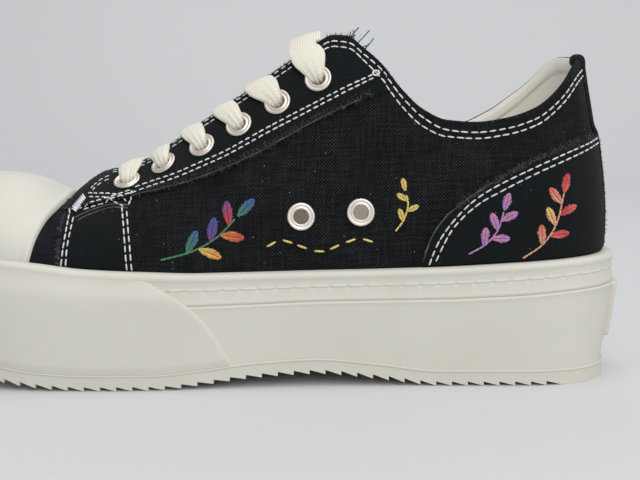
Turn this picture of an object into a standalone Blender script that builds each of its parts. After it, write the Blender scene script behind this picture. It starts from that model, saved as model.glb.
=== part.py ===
"""Low-top platform canvas sneaker for the right foot.

World metres, +Z up. The toe points to -X, the heel to +X, the inner (medial) side faces -Y.
The floor is z = 0 and the origin is the middle of the footprint. Sizes below are millimetres.
"""
import math
from collections import namedtuple

import bmesh
import bpy
from mathutils import Vector

MM = 0.001

# Driving sizes
TOE_TIP = -130.7
TOE_START = -78.0
HEEL_START = 92.0
HEEL_TIP = 130.3
TOE_FULLNESS = 2.45
HEEL_FULLNESS = 2.25
TOE_ZONE = 0.25
HEEL_ZONE = 0.80

GAP = 0.3
SEAT = 0.5
OUTSOLE_HEIGHT = 5.8
TOOTH_PITCH = 5.75
TOOTH_DEPTH = 1.7
TOOTH_REACH = 13.0
TOOTH_FIRST = -124.0
TOOTH_COUNT = 40
OUTSOLE_LIP = 0.6
LEDGE_ROUND = 1.2

WALL = 2.0
LAYER = 1.1
STRIP_THICKNESS = 0.8
STRIP_HALF = 0.026
CAP_THICKNESS = 2.3
BUMPER_THICKNESS = 1.0
BUMPER_TOP_THICKNESS = 0.55
BUMPER_TOP = 1.62
PLATE_THICKNESS = 1.4
PLATE_HALF = 0.054
PLATE_LEVELS = (0.30, 0.64, 0.985)
INSOLE_THICKNESS = 4.0
INSOLE_ROUND = 1.0
TONGUE_THICKNESS = 1.8
TONGUE_DROP = 0.7
TONGUE_ARCH = 0.16
TONGUE_FRONT = 0.296
TONGUE_REAR = 0.57

EYELET_HOLE = 2.7
EYELET_BARREL = 3.0
EYELET_RIM = 5.0
EYELET_HEIGHT = 0.9
EYELET_CUT = 3.4
EYELET_TAIL = 1.2
EYELET_ROLL = 0.7
EYELET_SIDES = 10
PLUG_DEPTH = 7.0
PLUG_HEIGHT = 6.0
LACE_WIDTH = 9.0
LACE_THICKNESS = 1.2
LACE_PINCH = 0.62
LACE_LIFT = 1.0
LACE_SETTLE = 0.4
LACE_EDGE = 0.99

MEDIAL = -1
LATERAL = 1

# Plan of the sole at its ledge: half-widths from the axis
Plan = namedtuple("Plan", "x medial lateral centre")
PLAN = (
    Plan(-131, 40.0, 39.0, -4.0),
    Plan(-105, 42.5, 42.0, -2.6),
    Plan(-78, 45.6, 44.4, -0.8),
    Plan(-57, 46.4, 46.0, 0.0),
    Plan(-38, 45.2, 46.4, 0.0),
    Plan(-10, 41.0, 44.2, 0.0),
    Plan(20, 37.9, 40.6, 0.0),
    Plan(50, 37.3, 38.4, 0.0),
    Plan(85, 37.6, 37.6, 0.0),
    Plan(131, 37.0, 37.0, 0.0),
)

# Heights along the sole: tread base, ledge of the platform wall, top of the foxing
Side = namedtuple("Side", "x tread ledge top")
SIDE = (
    Side(-131, 11.0, 37.4, 51.0),
    Side(-115, 6.6, 35.4, 49.2),
    Side(-97, 2.9, 33.0, 47.0),
    Side(-82, 0.9, 31.2, 45.4),
    Side(-66, 0.0, 30.3, 43.4),
    Side(-42, 0.0, 30.0, 42.2),
    Side(-25, 1.4, 30.1, 41.6),
    Side(-5, 3.6, 30.5, 41.7),
    Side(17, 4.5, 31.1, 42.0),
    Side(38, 2.6, 31.4, 42.4),
    Side(62, 0.0, 31.8, 43.2),
    Side(88, 0.0, 33.0, 44.7),
    Side(110, 0.0, 34.6, 46.1),
    Side(131, 0.0, 35.5, 47.0),
)

# By place around the sole: how far the platform wall's foot, and the upper, stand in from the ledge
Inset = namedtuple("Inset", "around foot upper")
INSET = (
    Inset(0.0, 2.4, 4.8),
    Inset(0.2, 1.5, 4.8),
    Inset(0.5, 1.2, 4.8),
    Inset(0.85, 2.0, 5.0),
    Inset(1.0, 5.2, 6.2),
)

# Section of the foxing band: rise from ledge to top, and how far it stands in from the plan
Band = namedtuple("Band", "rise inset")
BAND = (
    Band(0.00, 0.85),
    Band(0.44, 0.85),
    Band(0.49, 1.35),
    Band(0.54, 0.85),
    Band(0.66, 0.85),
    Band(0.74, 0.40),
    Band(0.88, 0.45),
    Band(0.97, 1.30),
    Band(1.00, 2.40),
)

# Last: where each spoke of the upper ends (ridge, throat or collar) and how it arrives.
# around: 0 toe, 1 heel back (one row beyond it repeats the other side). gap: half-opening.
# arrive: degrees above level at the top edge. swell: degrees that the wall leans out at its base.
# low, high: handle lengths as shares. tall: how much higher the lateral edge stands.
Last = namedtuple("Last", "around x gap z arrive swell low high tall", defaults=(0.0,))
LAST = (
    Last(0.000, -106.0, 0.0, 73.0, 0, 2, 0.60, 0.62),
    Last(0.060, -103.0, 0.0, 73.1, 0, 3, 0.58, 0.60),
    Last(0.120, -98.0, 0.0, 72.8, 0, 4, 0.56, 0.58),
    Last(0.170, -91.5, 0.0, 71.6, 0, 4, 0.54, 0.56),
    Last(0.205, -84.0, 0.0, 69.2, 0, 4, 0.52, 0.55),
    Last(0.235, -76.0, 0.0, 67.0, 0, 4, 0.50, 0.54),
    Last(0.265, -69.0, 0.0, 71.4, 0, 4, 0.48, 0.52),
    Last(0.285, -65.0, 0.0, 73.8, 4, 4, 0.46, 0.50),
    Last(0.300, -61.5, 5.2, 75.0, 10, 4, 0.45, 0.48),
    Last(0.320, -56.0, 8.0, 76.6, 18, 4, 0.44, 0.46),
    Last(0.350, -46.5, 9.4, 79.8, 26, 4, 0.42, 0.43),
    Last(0.380, -37.5, 10.4, 86.0, 32, 4, 0.40, 0.40),
    Last(0.420, -25.0, 11.4, 94.6, 40, 4, 0.38, 0.37),
    Last(0.470, -9.5, 12.4, 105.2, 48, 4, 0.36, 0.34),
    Last(0.520, 6.0, 13.2, 116.2, 54, 4, 0.35, 0.32),
    Last(0.560, 17.5, 13.8, 124.0, 58, 4, 0.34, 0.30),
    Last(0.578, 23.0, 14.4, 126.6, 60, 4, 0.34, 0.30),
    Last(0.595, 28.0, 16.0, 126.2, 62, 4, 0.34, 0.30),
    Last(0.612, 33.5, 18.4, 122.0, 64, 4, 0.34, 0.30),
    Last(0.632, 40.5, 21.6, 115.6, 68, 4, 0.34, 0.30),
    Last(0.655, 47.5, 24.6, 106.6, 72, 4, 0.34, 0.30, -0.5),
    Last(0.680, 55.0, 26.6, 99.4, 75, 4, 0.34, 0.30, -1.4),
    Last(0.710, 63.5, 28.0, 95.4, 77, 4, 0.34, 0.30, -2.2),
    Last(0.745, 74.0, 28.4, 94.6, 78, 4, 0.34, 0.30, -1.6),
    Last(0.785, 85.0, 28.0, 96.0, 78, 4, 0.34, 0.30, 1.6),
    Last(0.830, 96.5, 26.2, 99.8, 79, 5, 0.34, 0.30, 5.8),
    Last(0.880, 106.5, 20.8, 107.6, 80, 6, 0.34, 0.30, 7.2),
    Last(0.930, 112.8, 13.4, 115.0, 81, 7, 0.34, 0.30, 3.8),
    Last(1.000, 116.6, 0.0, 118.6, 82, 8, 0.34, 0.30),
    Last(1.070, 112.8, -13.4, 115.0, 81, 7, 0.34, 0.30, 3.8),
)
THROAT = 0.285
STAY_FRONT = 0.252
STAY_REAR = 0.636
OVERLAY_FOOT = 0.012

# Edges that cross the upper, seen from the side
Edge = namedtuple("Edge", "x z")
CAP_EDGE = (
    Edge(-86.2, 44.0),
    Edge(-85.2, 48.0),
    Edge(-83.6, 54.0),
    Edge(-81.4, 59.5),
    Edge(-78.6, 63.5),
    Edge(-76.6, 66.0),
    Edge(-75.4, 69.0),
)
STAY_EDGE = (
    Edge(-75.0, 62.6),
    Edge(-62.0, 65.4),
    Edge(-50.5, 67.6),
    Edge(-31.8, 72.6),
    Edge(-9.5, 81.4),
    Edge(17.8, 96.2),
    Edge(32.6, 103.2),
    Edge(45.0, 107.0),
)
COUNTER_EDGE = (
    Edge(54.4, 41.5),
    Edge(55.2, 46.0),
    Edge(57.6, 53.0),
    Edge(62.2, 60.2),
    Edge(67.1, 64.8),
    Edge(73.1, 69.2),
    Edge(80.0, 73.6),
    Edge(91.2, 79.6),
    Edge(104.8, 85.5),
    Edge(126.0, 91.4),
)
BUMPER_EDGE = (
    Edge(-12.6, 2.0),
    Edge(-15.6, 9.6),
    Edge(-19.3, 16.2),
    Edge(-23.5, 22.9),
    Edge(-30.5, 30.2),
    Edge(-44.2, 39.0),
    Edge(-58.0, 46.0),
)

# Centres of the eyelets, seen from the side
EYELETS = (
    Edge(-53.1, 72.1),
    Edge(-39.1, 78.6),
    Edge(-24.9, 85.5),
    Edge(-11.4, 93.3),
    Edge(2.7, 101.6),
    Edge(17.5, 110.2),
)
VENTS = (
    Edge(10.9, 61.4),
    Edge(32.5, 62.9),
)

# Lace bars from the toe: how far each leans to the toe at the throat edge, and how far it arches between
Bar = namedtuple("Bar", "lean arch")
BARS = (
    Bar(-0.5, 0.4),
    Bar(2.1, 0.4),
    Bar(4.7, 0.4),
    Bar(6.2, 0.4),
    Bar(7.3, 0.6),
    Bar(4.6, 5.0),
)

# Finishes: colour (linear), roughness, metallic
Finish = namedtuple("Finish", "name colour roughness metallic")
RUBBER = Finish("off_white_rubber", (0.60, 0.59, 0.53), 0.55, 0.0)
CANVAS = Finish("black_canvas", (0.013, 0.014, 0.017), 0.92, 0.0)
NICKEL = Finish("nickel_eyelet", (0.72, 0.68, 0.66), 0.25, 1.0)
COTTON = Finish("cream_lace", (0.78, 0.75, 0.65), 0.85, 0.0)
SOCK = Finish("insole_cloth", (0.58, 0.57, 0.52), 0.9, 0.0)


def curve(rows, key, column, at):
    """Smooth curve through one column of a table, without overshoot."""
    keys = [getattr(row, key) for row in rows]
    values = [getattr(row, column) for row in rows]
    if at <= keys[0]:
        return values[0]
    if at >= keys[-1]:
        return values[-1]
    k = 0
    while keys[k + 1] < at:
        k += 1
    slopes = []
    for i in (k, k + 1):
        if i == 0 or i == len(keys) - 1:
            j = min(i, len(keys) - 2)
            slopes.append((values[j + 1] - values[j]) / (keys[j + 1] - keys[j]))
            continue
        before = (values[i] - values[i - 1]) / (keys[i] - keys[i - 1])
        after = (values[i + 1] - values[i]) / (keys[i + 1] - keys[i])
        if before * after <= 0:
            slopes.append(0.0)
        else:
            slopes.append(2 * before * after / (before + after))
    span = keys[k + 1] - keys[k]
    t = (at - keys[k]) / span
    a = (1 + 2 * t) * (1 - t) ** 2
    b = t * (1 - t) ** 2
    c = t * t * (3 - 2 * t)
    d = t * t * (t - 1)
    return a * values[k] + b * span * slopes[0] + c * values[k + 1] + d * span * slopes[1]


def wrapped(w):
    """Place around the shoe: 0 toe, -1 and 1 heel back, negative on the medial side."""
    if w > 1:
        return w - 2
    if w < -1:
        return w + 2
    return w


def plan(w):
    """Point of the sole's plan at its ledge."""
    w = wrapped(w)
    u = abs(w)
    if u < TOE_ZONE:
        turn = (1 - u / TOE_ZONE) * math.pi / 2
        x = TOE_START + (TOE_TIP - TOE_START) * math.sin(turn) ** (2 / TOE_FULLNESS)
        share = max(math.cos(turn), 0.0) ** (2 / TOE_FULLNESS)
    elif u > HEEL_ZONE:
        turn = (u - HEEL_ZONE) / (1 - HEEL_ZONE) * math.pi / 2
        x = HEEL_START + (HEEL_TIP - HEEL_START) * math.sin(turn) ** (2 / HEEL_FULLNESS)
        share = max(math.cos(turn), 0.0) ** (2 / HEEL_FULLNESS)
    else:
        x = TOE_START + (HEEL_START - TOE_START) * (u - TOE_ZONE) / (HEEL_ZONE - TOE_ZONE)
        share = 1.0
    if u < 1e-6 or u > 1 - 1e-6:
        share = 0.0
    half = curve(PLAN, "x", "medial" if w < 0 else "lateral", x)
    side = MEDIAL if w < 0 else LATERAL
    return Vector((x, curve(PLAN, "x", "centre", x) + side * half * share, 0.0))


def plan_in(w, inset):
    """Point of the plan moved inwards, square to its outline."""
    step = 0.004
    along = plan(wrapped(w + step)) - plan(wrapped(w - step))
    inward = Vector((along.y, -along.x, 0.0)).normalized()
    return plan(w) + inward * inset


def side_height(column, x):
    """Height of a line of the sole at a length."""
    return curve(SIDE, "x", column, x)


def outsole_top(x):
    """Height of the line between outsole and platform wall."""
    return side_height("tread", x) + OUTSOLE_HEIGHT


def wall_point(w, level, out=0.0):
    """Point of the platform's side: level 0 at the outsole, 1 at the ledge, up to 2 at the foxing top."""
    lean = curve(INSET, "around", "foot", abs(w)) * max(0.0, 1 - level)
    point = plan_in(w, lean - out)
    low = outsole_top(point.x) + GAP
    ledge = side_height("ledge", point.x)
    if level <= 1:
        point.z = low + (ledge - low) * level
    else:
        point.z = ledge + (side_height("top", point.x) - ledge) * (level - 1)
    return point


def ridge_run(u):
    """Run and climb of the top line around a place."""
    step = 0.01
    ahead = u + step
    behind = max(0.0, u - step)
    run = curve(LAST, "around", "x", ahead) - curve(LAST, "around", "x", behind)
    climb = curve(LAST, "around", "z", ahead) - curve(LAST, "around", "z", behind)
    return run, climb


def upper_inset(w):
    """How far the upper stands in from the sole's plan."""
    return curve(INSET, "around", "upper", abs(w))


def upper_point(w, v):
    """Outer face of the upper: v 0 at the foxing top, 1 at its top line, -1 at the feather edge."""
    w = wrapped(w)
    u = abs(w)
    base = plan_in(w, upper_inset(w))
    top_of_band = side_height("top", base.x)
    feather = side_height("ledge", base.x) + GAP
    if v < 0:
        base.z = top_of_band + (feather - top_of_band) * -v
        return base
    base.z = top_of_band
    side = MEDIAL if w < 0 else LATERAL
    x = curve(LAST, "around", "x", u)
    end = Vector((x, 0.0, curve(LAST, "around", "z", u)))
    end.y = curve(PLAN, "x", "centre", x) + side * curve(LAST, "around", "gap", u)
    if side == LATERAL:
        end.z += curve(LAST, "around", "tall", u)
    level = Vector((end.x - base.x, end.y - base.y, 0.0))
    reach = level.length
    level.normalize()
    rise = end.z - base.z
    swell = math.radians(curve(LAST, "around", "swell", u))
    arrive = math.radians(curve(LAST, "around", "arrive", u))
    low = curve(LAST, "around", "low", u) * rise
    high = curve(LAST, "around", "high", u) * math.hypot(reach, rise) * 0.9
    leave = Vector((0, 0, math.cos(swell))) - level * math.sin(swell)
    come = level * math.cos(arrive) + Vector((0, 0, math.sin(arrive)))
    if u < THROAT + 0.02:
        run, climb = ridge_run(u)
        fade = min(1.0, max(0.0, (THROAT + 0.02 - u) / 0.03))
        come.z += fade * climb / run * level.x
    one = base + leave * low
    two = end - come * high
    r = 1 - v
    return base * r ** 3 + one * (3 * r * r * v) + two * (3 * r * v * v) + end * v ** 3


def upper_normal(w, v):
    """Outward normal of the upper; on the closed ridge it is shared by both sides."""
    if v > 0.999 and abs(w) < THROAT:
        run, climb = ridge_run(abs(w))
        return Vector((-climb, 0.0, run)).normalized()
    step = 0.004
    v_high = min(1.0, v + 0.01)
    v_low = v_high - 0.02
    along = upper_point(wrapped(w + step), v) - upper_point(wrapped(w - step), v)
    across = upper_point(w, v_high) - upper_point(w, v_low)
    if v < 0:
        across = Vector((0, 0, 1))
    return across.cross(along).normalized()


def upper_out(w, v, out):
    """Point at a distance outside the upper's outer face."""
    return upper_point(w, v) + upper_normal(w, v) * out


def solve(low, high, side_of):
    """Place between low and high where a measure changes sign."""
    rising = side_of(low) < 0
    for _ in range(36):
        mid = (low + high) / 2
        if (side_of(mid) < 0) == rising:
            low = mid
        else:
            high = mid
    return (low + high) / 2


def height_on(w, edge):
    """v where a spoke of the upper crosses an edge that is given as z over x."""
    def over(v):
        point = upper_point(w, v)
        return point.z - curve(edge, "x", "z", point.x)
    return solve(0.0, 1.0, over)


def spoke_on(v, edge, side, first, last):
    """Place around where a level of the upper crosses an edge that is given as x over z."""
    def behind(u):
        point = upper_point(side * u, v)
        return point.x - curve(edge, "z", "x", point.z)
    return side * solve(first, last, behind)


def spoke_at(x, z, side):
    """Place (w, v) on the upper that has these side-view coordinates."""
    w = side * 0.45
    v = 0.6
    for _ in range(40):
        def behind(u):
            return upper_point(side * u, v).x - x
        w = side * solve(0.26, 0.98, behind)

        def over(t):
            return upper_point(w, t).z - z
        v = solve(0.02, 0.98, over)
    return w, v


def material(finish):
    """Principled material of a finish, made once."""
    found = bpy.data.materials.get(finish.name)
    if found:
        return found
    made = bpy.data.materials.new(finish.name)
    made.use_nodes = True
    shader = made.node_tree.nodes["Principled BSDF"]
    shader.inputs["Base Color"].default_value = (*finish.colour, 1.0)
    shader.inputs["Roughness"].default_value = finish.roughness
    shader.inputs["Metallic"].default_value = finish.metallic
    made.diffuse_color = (*finish.colour, 1.0)
    return made


def make(name, points, faces, finish, smooth_angle=40):
    """Object from points in millimetres and faces."""
    mesh = bpy.data.meshes.new(name)
    mesh.from_pydata([p * MM for p in points], [], faces)
    work = bmesh.new()
    work.from_mesh(mesh)
    bmesh.ops.triangulate(work, faces=work.faces[:])
    bmesh.ops.recalc_face_normals(work, faces=work.faces[:])
    work.to_mesh(mesh)
    work.free()
    mesh.shade_smooth()
    mesh.set_sharp_from_angle(angle=math.radians(smooth_angle))
    mesh.materials.append(material(finish))
    thing = bpy.data.objects.new(name, mesh)
    bpy.context.scene.collection.objects.link(thing)
    return thing


class Sheet:
    """Grid of places that becomes a closed wall between two faces."""

    def __init__(self):
        self.order = {}
        self.outer = []
        self.inner = []
        self.faces = []

    def add(self, outer, inner):
        """Index of a pair of points; a pair that repeats is shared."""
        key = (round(outer.x, 3), round(outer.y, 3), round(outer.z, 3))
        if key not in self.order:
            self.order[key] = len(self.outer)
            self.outer.append(outer)
            self.inner.append(inner)
        return self.order[key]

    def grid(self, columns):
        """Faces between neighbouring columns of indices."""
        for left, right in zip(columns, columns[1:]):
            for j in range(len(left) - 1):
                ring = []
                for index in (left[j], right[j], right[j + 1], left[j + 1]):
                    if index not in ring:
                        ring.append(index)
                if len(ring) > 2:
                    self.faces.append(tuple(ring))

    def solid(self):
        """Points and faces of the closed wall, with a rim along each open edge."""
        count = len(self.outer)
        faces = list(self.faces)
        faces += [tuple(count + i for i in reversed(face)) for face in self.faces]
        uses = {}
        for face in self.faces:
            for a, b in zip(face, face[1:] + face[:1]):
                pair = (min(a, b), max(a, b))
                uses.setdefault(pair, []).append((a, b))
        for found in uses.values():
            if len(found) == 1:
                a, b = found[0]
                faces.append((b, a, a + count, b + count))
        return self.outer + self.inner, faces


def places(*zones):
    """Places from pairs of (from, to, steps), joined end to end."""
    out = []
    for start, stop, steps in zones:
        for k in range(steps):
            out.append(start + (stop - start) * k / steps)
    out.append(zones[-1][1])
    return out


HALF = places((0.0, 0.19, 6), (0.19, 0.235, 2), (0.235, 0.265, 2), (0.265, THROAT, 1), (THROAT, 0.355, 4),
              (0.355, 0.56, 6), (0.56, 0.68, 6), (0.68, 0.80, 3), (0.80, 1.0, 6))
AROUND = [-u for u in reversed(HALF)] + HALF[1:]
SOLE_HALF = places((0.0, 0.19, 6), (0.19, 0.80, 14), (0.80, 1.0, 6))
RING = [-u for u in reversed(SOLE_HALF)] + SOLE_HALF[1:-1]


def overlay(name, columns, near, far, finish):
    """Layer between two distances outside the upper, over columns of (w, v) places."""
    sheet = Sheet()
    rows = []
    for column in columns:
        rows.append([sheet.add(upper_out(w, v, far), upper_out(w, v, near)) for w, v in column])
    sheet.grid(rows)
    return make(name, *sheet.solid(), finish)


def band_between(low, high, steps):
    """Even steps from low to high."""
    return [low + (high - low) * k / steps for k in range(steps + 1)]


UPPER_LEVELS = (-1.0, 0.0, 0.10, 0.22, 0.36, 0.52, 0.68, 0.84, 1.0)


def build_upper():
    """Hollow upper, open at the throat, the collar and underneath."""
    sheet = Sheet()
    columns = []
    for w in AROUND:
        columns.append([sheet.add(upper_point(w, v), upper_out(w, v, -WALL)) for v in UPPER_LEVELS])
    sheet.grid(columns)
    return make("upper", *sheet.solid(), CANVAS)


def build_toe_cap():
    """Rubber cap over the toe, ending in a rounded rear edge."""
    fixed = [u for u in HALF if u < 0.195]
    columns = [[] for _ in range(2 * len(fixed) + 3)]
    for v in UPPER_LEVELS[1:]:
        level = max(v, OVERLAY_FOOT)
        half = {}
        for side in (MEDIAL, LATERAL):
            rear = abs(spoke_on(level, CAP_EDGE, side, 0.195, 0.275))
            half[side] = fixed + [(fixed[-1] + rear) / 2, rear]
        around = [-u for u in reversed(half[MEDIAL])] + half[LATERAL][1:]
        for w, column in zip(around, columns):
            column.append((w, level))
    return overlay("toe_cap", columns, SEAT, SEAT + CAP_THICKNESS, RUBBER)


def build_eyestay(name, side):
    """Facing strip that carries the eyelets, from the throat edge down to its raw edge."""
    columns = []
    for u in places((STAY_FRONT, THROAT, 2), (THROAT, 0.355, 4), (0.355, 0.56, 6), (0.56, STAY_REAR, 4)):
        low = height_on(side * u, STAY_EDGE)
        high = 0.97 if u < THROAT + 0.002 else 0.995
        columns.append([(side * u, v) for v in band_between(low, high, 3)])
    return overlay(name, columns, SEAT, SEAT + LAYER, CANVAS)


def counter_front(side):
    """Place around where the counter first stands clear of the foxing."""
    u = 0.62
    while True:
        high = height_on(side * u, COUNTER_EDGE)
        rise = upper_point(side * u, high).z - upper_point(side * u, 0).z
        if 2.5 < rise < 25:
            return u
        u += 0.002


def build_counter():
    """Heel counter that wraps the back of the upper."""
    medial = places((counter_front(MEDIAL), 0.70, 4), (0.70, 0.80, 3), (0.80, 1.0, 6))
    lateral = places((counter_front(LATERAL), 0.70, 4), (0.70, 0.80, 3), (0.80, 1.0, 6))
    columns = []
    for w in [-u for u in medial] + list(reversed(lateral))[1:]:
        high = height_on(w, COUNTER_EDGE)
        columns.append([(w, v) for v in band_between(OVERLAY_FOOT, high, 4)])
    return overlay("heel_counter", columns, SEAT, SEAT + LAYER, CANVAS)


def build_heel_strip():
    """Narrow strip up the back seam, over the counter, and just past the collar."""
    sheet = Sheet()
    columns = []
    edge = height_on(1.0, COUNTER_EDGE)
    levels = band_between(OVERLAY_FOOT, edge, 4) + [edge + 0.02, edge + 0.08, (edge + 1) / 2, 0.95, 1.0]
    for k in range(-2, 3):
        w = wrapped(1.0 + STRIP_HALF * k / 2)
        column = []
        for v in levels:
            near = SEAT if v > edge + 0.05 else SEAT + LAYER + GAP
            column.append(sheet.add(upper_out(w, v, near + STRIP_THICKNESS), upper_out(w, v, near)))
        columns.append(column)
    sheet.grid(columns)
    return make("heel_strip", *sheet.solid(), CANVAS)


def joined(polygons):
    """Points and faces of polygons, with equal corners shared."""
    order = {}
    points = []
    faces = []
    for polygon in polygons:
        ring = []
        for corner in polygon:
            key = (round(corner.x, 3), round(corner.y, 3), round(corner.z, 3))
            if key not in order:
                order[key] = len(points)
                points.append(corner)
            if order[key] not in ring:
                ring.append(order[key])
        if len(ring) > 2:
            faces.append(tuple(ring))
    return points, faces


def rungs(line):
    """Polygons that close a line of points from its two ends to its middle."""
    count = len(line)
    return [(line[k], line[k + 1], line[count - 2 - k], line[count - 1 - k]) for k in range(count // 2)]


def slab(rings):
    """Closed body from rings of points; each ring runs toe, medial side, heel, lateral side, toe."""
    polygons = []
    for low, high in zip(rings, rings[1:]):
        for k in range(len(low) - 1):
            polygons.append((low[k], low[k + 1], high[k + 1], high[k]))
    return joined(polygons + rungs(rings[0]) + rungs(rings[-1]))


def ring_of(inset, height):
    """Ring of plan points moved inwards, at a height that depends on the length."""
    out = []
    for w in [-u for u in SOLE_HALF] + list(reversed(SOLE_HALF))[1:]:
        point = plan_in(w, inset(w))
        point.z = height(point.x)
        out.append(point)
    return out


def build_midsole():
    """Platform block with a leaning wall and a ledge around its top."""
    def foot(w):
        return curve(INSET, "around", "foot", abs(w))
    rings = [
        ring_of(foot, lambda x: outsole_top(x) + GAP),
        ring_of(lambda w: LEDGE_ROUND * 0.1, lambda x: side_height("ledge", x) - LEDGE_ROUND),
        ring_of(lambda w: 0.0, lambda x: side_height("ledge", x) - LEDGE_ROUND * 0.4),
        ring_of(lambda w: LEDGE_ROUND * 0.3, lambda x: side_height("ledge", x)),
    ]
    return make("midsole", *slab(rings), RUBBER)


def build_insole():
    """Loose footbed on the platform, inside the upper."""
    def inset(w):
        return upper_inset(w) + WALL + SEAT
    def top(x):
        return side_height("ledge", x) + GAP + INSOLE_THICKNESS
    rings = [
        ring_of(inset, lambda x: side_height("ledge", x) + GAP),
        ring_of(inset, lambda x: top(x) - INSOLE_ROUND),
        ring_of(lambda w: inset(w) + INSOLE_ROUND, top),
    ]
    return make("insole", *slab(rings), SOCK)


def build_foxing():
    """Band around the foot of the upper, with a moulded groove and a rounded bead."""
    count = len(BAND) + 2
    points = []
    for w in RING:
        inner = upper_inset(w) - SEAT
        for part in [Band(0.0, inner)] + list(BAND) + [Band(1.0, inner)]:
            point = plan_in(w, part.inset)
            ledge = side_height("ledge", point.x) + GAP
            point.z = ledge + (side_height("top", point.x) - ledge) * part.rise
            points.append(point)
    faces = []
    for k in range(len(RING)):
        n = (k + 1) % len(RING)
        for j in range(count):
            m = (j + 1) % count
            faces.append((k * count + j, n * count + j, n * count + m, k * count + m))
    return make("foxing_band", points, faces, RUBBER)


def build_bumper():
    """Toe bumper wrapped over platform wall and band, with a slanting rear edge."""
    levels = [0.0, 0.35, 0.7, 1.0, 1.3, BUMPER_TOP]
    steps = 14
    shares = [k / steps for k in range(-steps, steps + 1)]
    sheet = Sheet()
    columns = [[] for _ in shares]
    for level in levels:
        for side in (MEDIAL, LATERAL):
            def behind(u, level=level, side=side):
                point = wall_point(side * u, level)
                return point.x - curve(BUMPER_EDGE, "z", "x", point.z)
            rear = solve(0.1, 0.6, behind)
            for share, column in zip(shares, columns):
                if share * side > 0 or (share == 0 and side == MEDIAL):
                    w = rear * share
                    thick = BUMPER_TOP_THICKNESS if level == BUMPER_TOP else BUMPER_THICKNESS
                    outer = wall_point(w, level, GAP + thick)
                    inner = wall_point(w, level, GAP)
                    column.append(sheet.add(outer, inner))
    sheet.grid(columns)
    return make("toe_bumper", *sheet.solid(), RUBBER)


def build_heel_plate():
    """Bare rubber plate on the back of the platform."""
    sheet = Sheet()
    columns = []
    for k in range(-4, 5):
        w = wrapped(1.0 + PLATE_HALF * k / 4)
        column = []
        for level in PLATE_LEVELS:
            column.append(sheet.add(wall_point(w, level, GAP + PLATE_THICKNESS), wall_point(w, level, GAP)))
        columns.append(column)
    sheet.grid(columns)
    return make("heel_plate", *sheet.solid(), RUBBER)


def outsole_place(x, side, inset):
    """Place around where the outsole's outline stands at a length."""
    def behind(u):
        return plan_in(side * u, inset(side * u)).x - x
    return side * solve(0.0, 1.0, behind)


def outsole_inset(w):
    """How far the outsole's outline stands in from the plan."""
    return curve(INSET, "around", "foot", abs(w)) - OUTSOLE_LIP


def lifted(point, z):
    """The same place at another height."""
    return Vector((point.x, point.y, z))


Station = namedtuple("Station", "top high low inside")


def tread_station(x, side):
    """Corners of the tread at a length: rim top, tooth root, tooth tip, and the tooth's inner end."""
    w = outsole_place(x, side, outsole_inset)
    rim = plan_in(w, outsole_inset(w))
    rim.x = x
    base = side_height("tread", x)
    reach = min(TOOTH_REACH, abs(rim.y) * 0.6)
    inside = Vector((x, rim.y - side * reach, base))
    top = lifted(rim, base + OUTSOLE_HEIGHT)
    return Station(top, lifted(rim, base + TOOTH_DEPTH), lifted(rim, base), inside)


def tread_end(x, tip, row, low_name, rise):
    """Polygons of the rounded end beyond the first or last tooth."""
    steps = 5
    lows = [getattr(row[MEDIAL], low_name)]
    tops = [row[MEDIAL].top]
    start = abs(outsole_place(x, MEDIAL, outsole_inset))
    stop = abs(outsole_place(x, LATERAL, outsole_inset))
    path = [MEDIAL * (start + (tip - start) * k / steps) for k in range(1, steps)] + [tip]
    path += [stop + (tip - stop) * k / steps for k in range(steps - 1, 0, -1)]
    for w in path:
        rim = plan_in(w, outsole_inset(w))
        base = side_height("tread", rim.x)
        lows.append(lifted(rim, base + rise))
        tops.append(lifted(rim, base + OUTSOLE_HEIGHT))
    lows.append(getattr(row[LATERAL], low_name))
    tops.append(row[LATERAL].top)
    walls = [(lows[k], lows[k + 1], tops[k + 1], tops[k]) for k in range(len(lows) - 1)]
    return walls + rungs(lows) + rungs(tops)


def build_outsole():
    """Tread layer: transverse saw-teeth along its edges and a flat middle."""
    stops = [TOOTH_FIRST + TOOTH_PITCH * k for k in range(TOOTH_COUNT + 1)]
    rows = [{side: tread_station(x, side) for side in (MEDIAL, LATERAL)} for x in stops]
    polygons = []
    for a, b in zip(rows, rows[1:]):
        last = b is rows[-1]
        for side in (MEDIAL, LATERAL):
            p = a[side]
            q = b[side]
            tooth = [p.top, p.high, q.low]
            if not last:
                tooth.append(q.high)
                polygons.append((q.low, q.inside, q.high))
            polygons.append(tooth + [q.top])
            polygons.append((p.high, p.inside, q.inside, q.low))
        polygons.append((a[MEDIAL].inside, a[LATERAL].inside, b[LATERAL].inside, b[MEDIAL].inside))
        polygons.append((a[MEDIAL].top, a[LATERAL].top, b[LATERAL].top, b[MEDIAL].top))
    first = rows[0]
    polygons.append((first[MEDIAL].high, first[MEDIAL].inside, first[LATERAL].inside, first[LATERAL].high))
    polygons += tread_end(stops[0], 0.0, first, "high", TOOTH_DEPTH)
    final = rows[-1]
    polygons.append((final[MEDIAL].low, final[MEDIAL].inside, final[LATERAL].inside, final[LATERAL].low))
    polygons += tread_end(stops[-1], 1.0, final, "low", 0.0)
    return make("outsole", *joined(polygons), RUBBER, 25)


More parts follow.
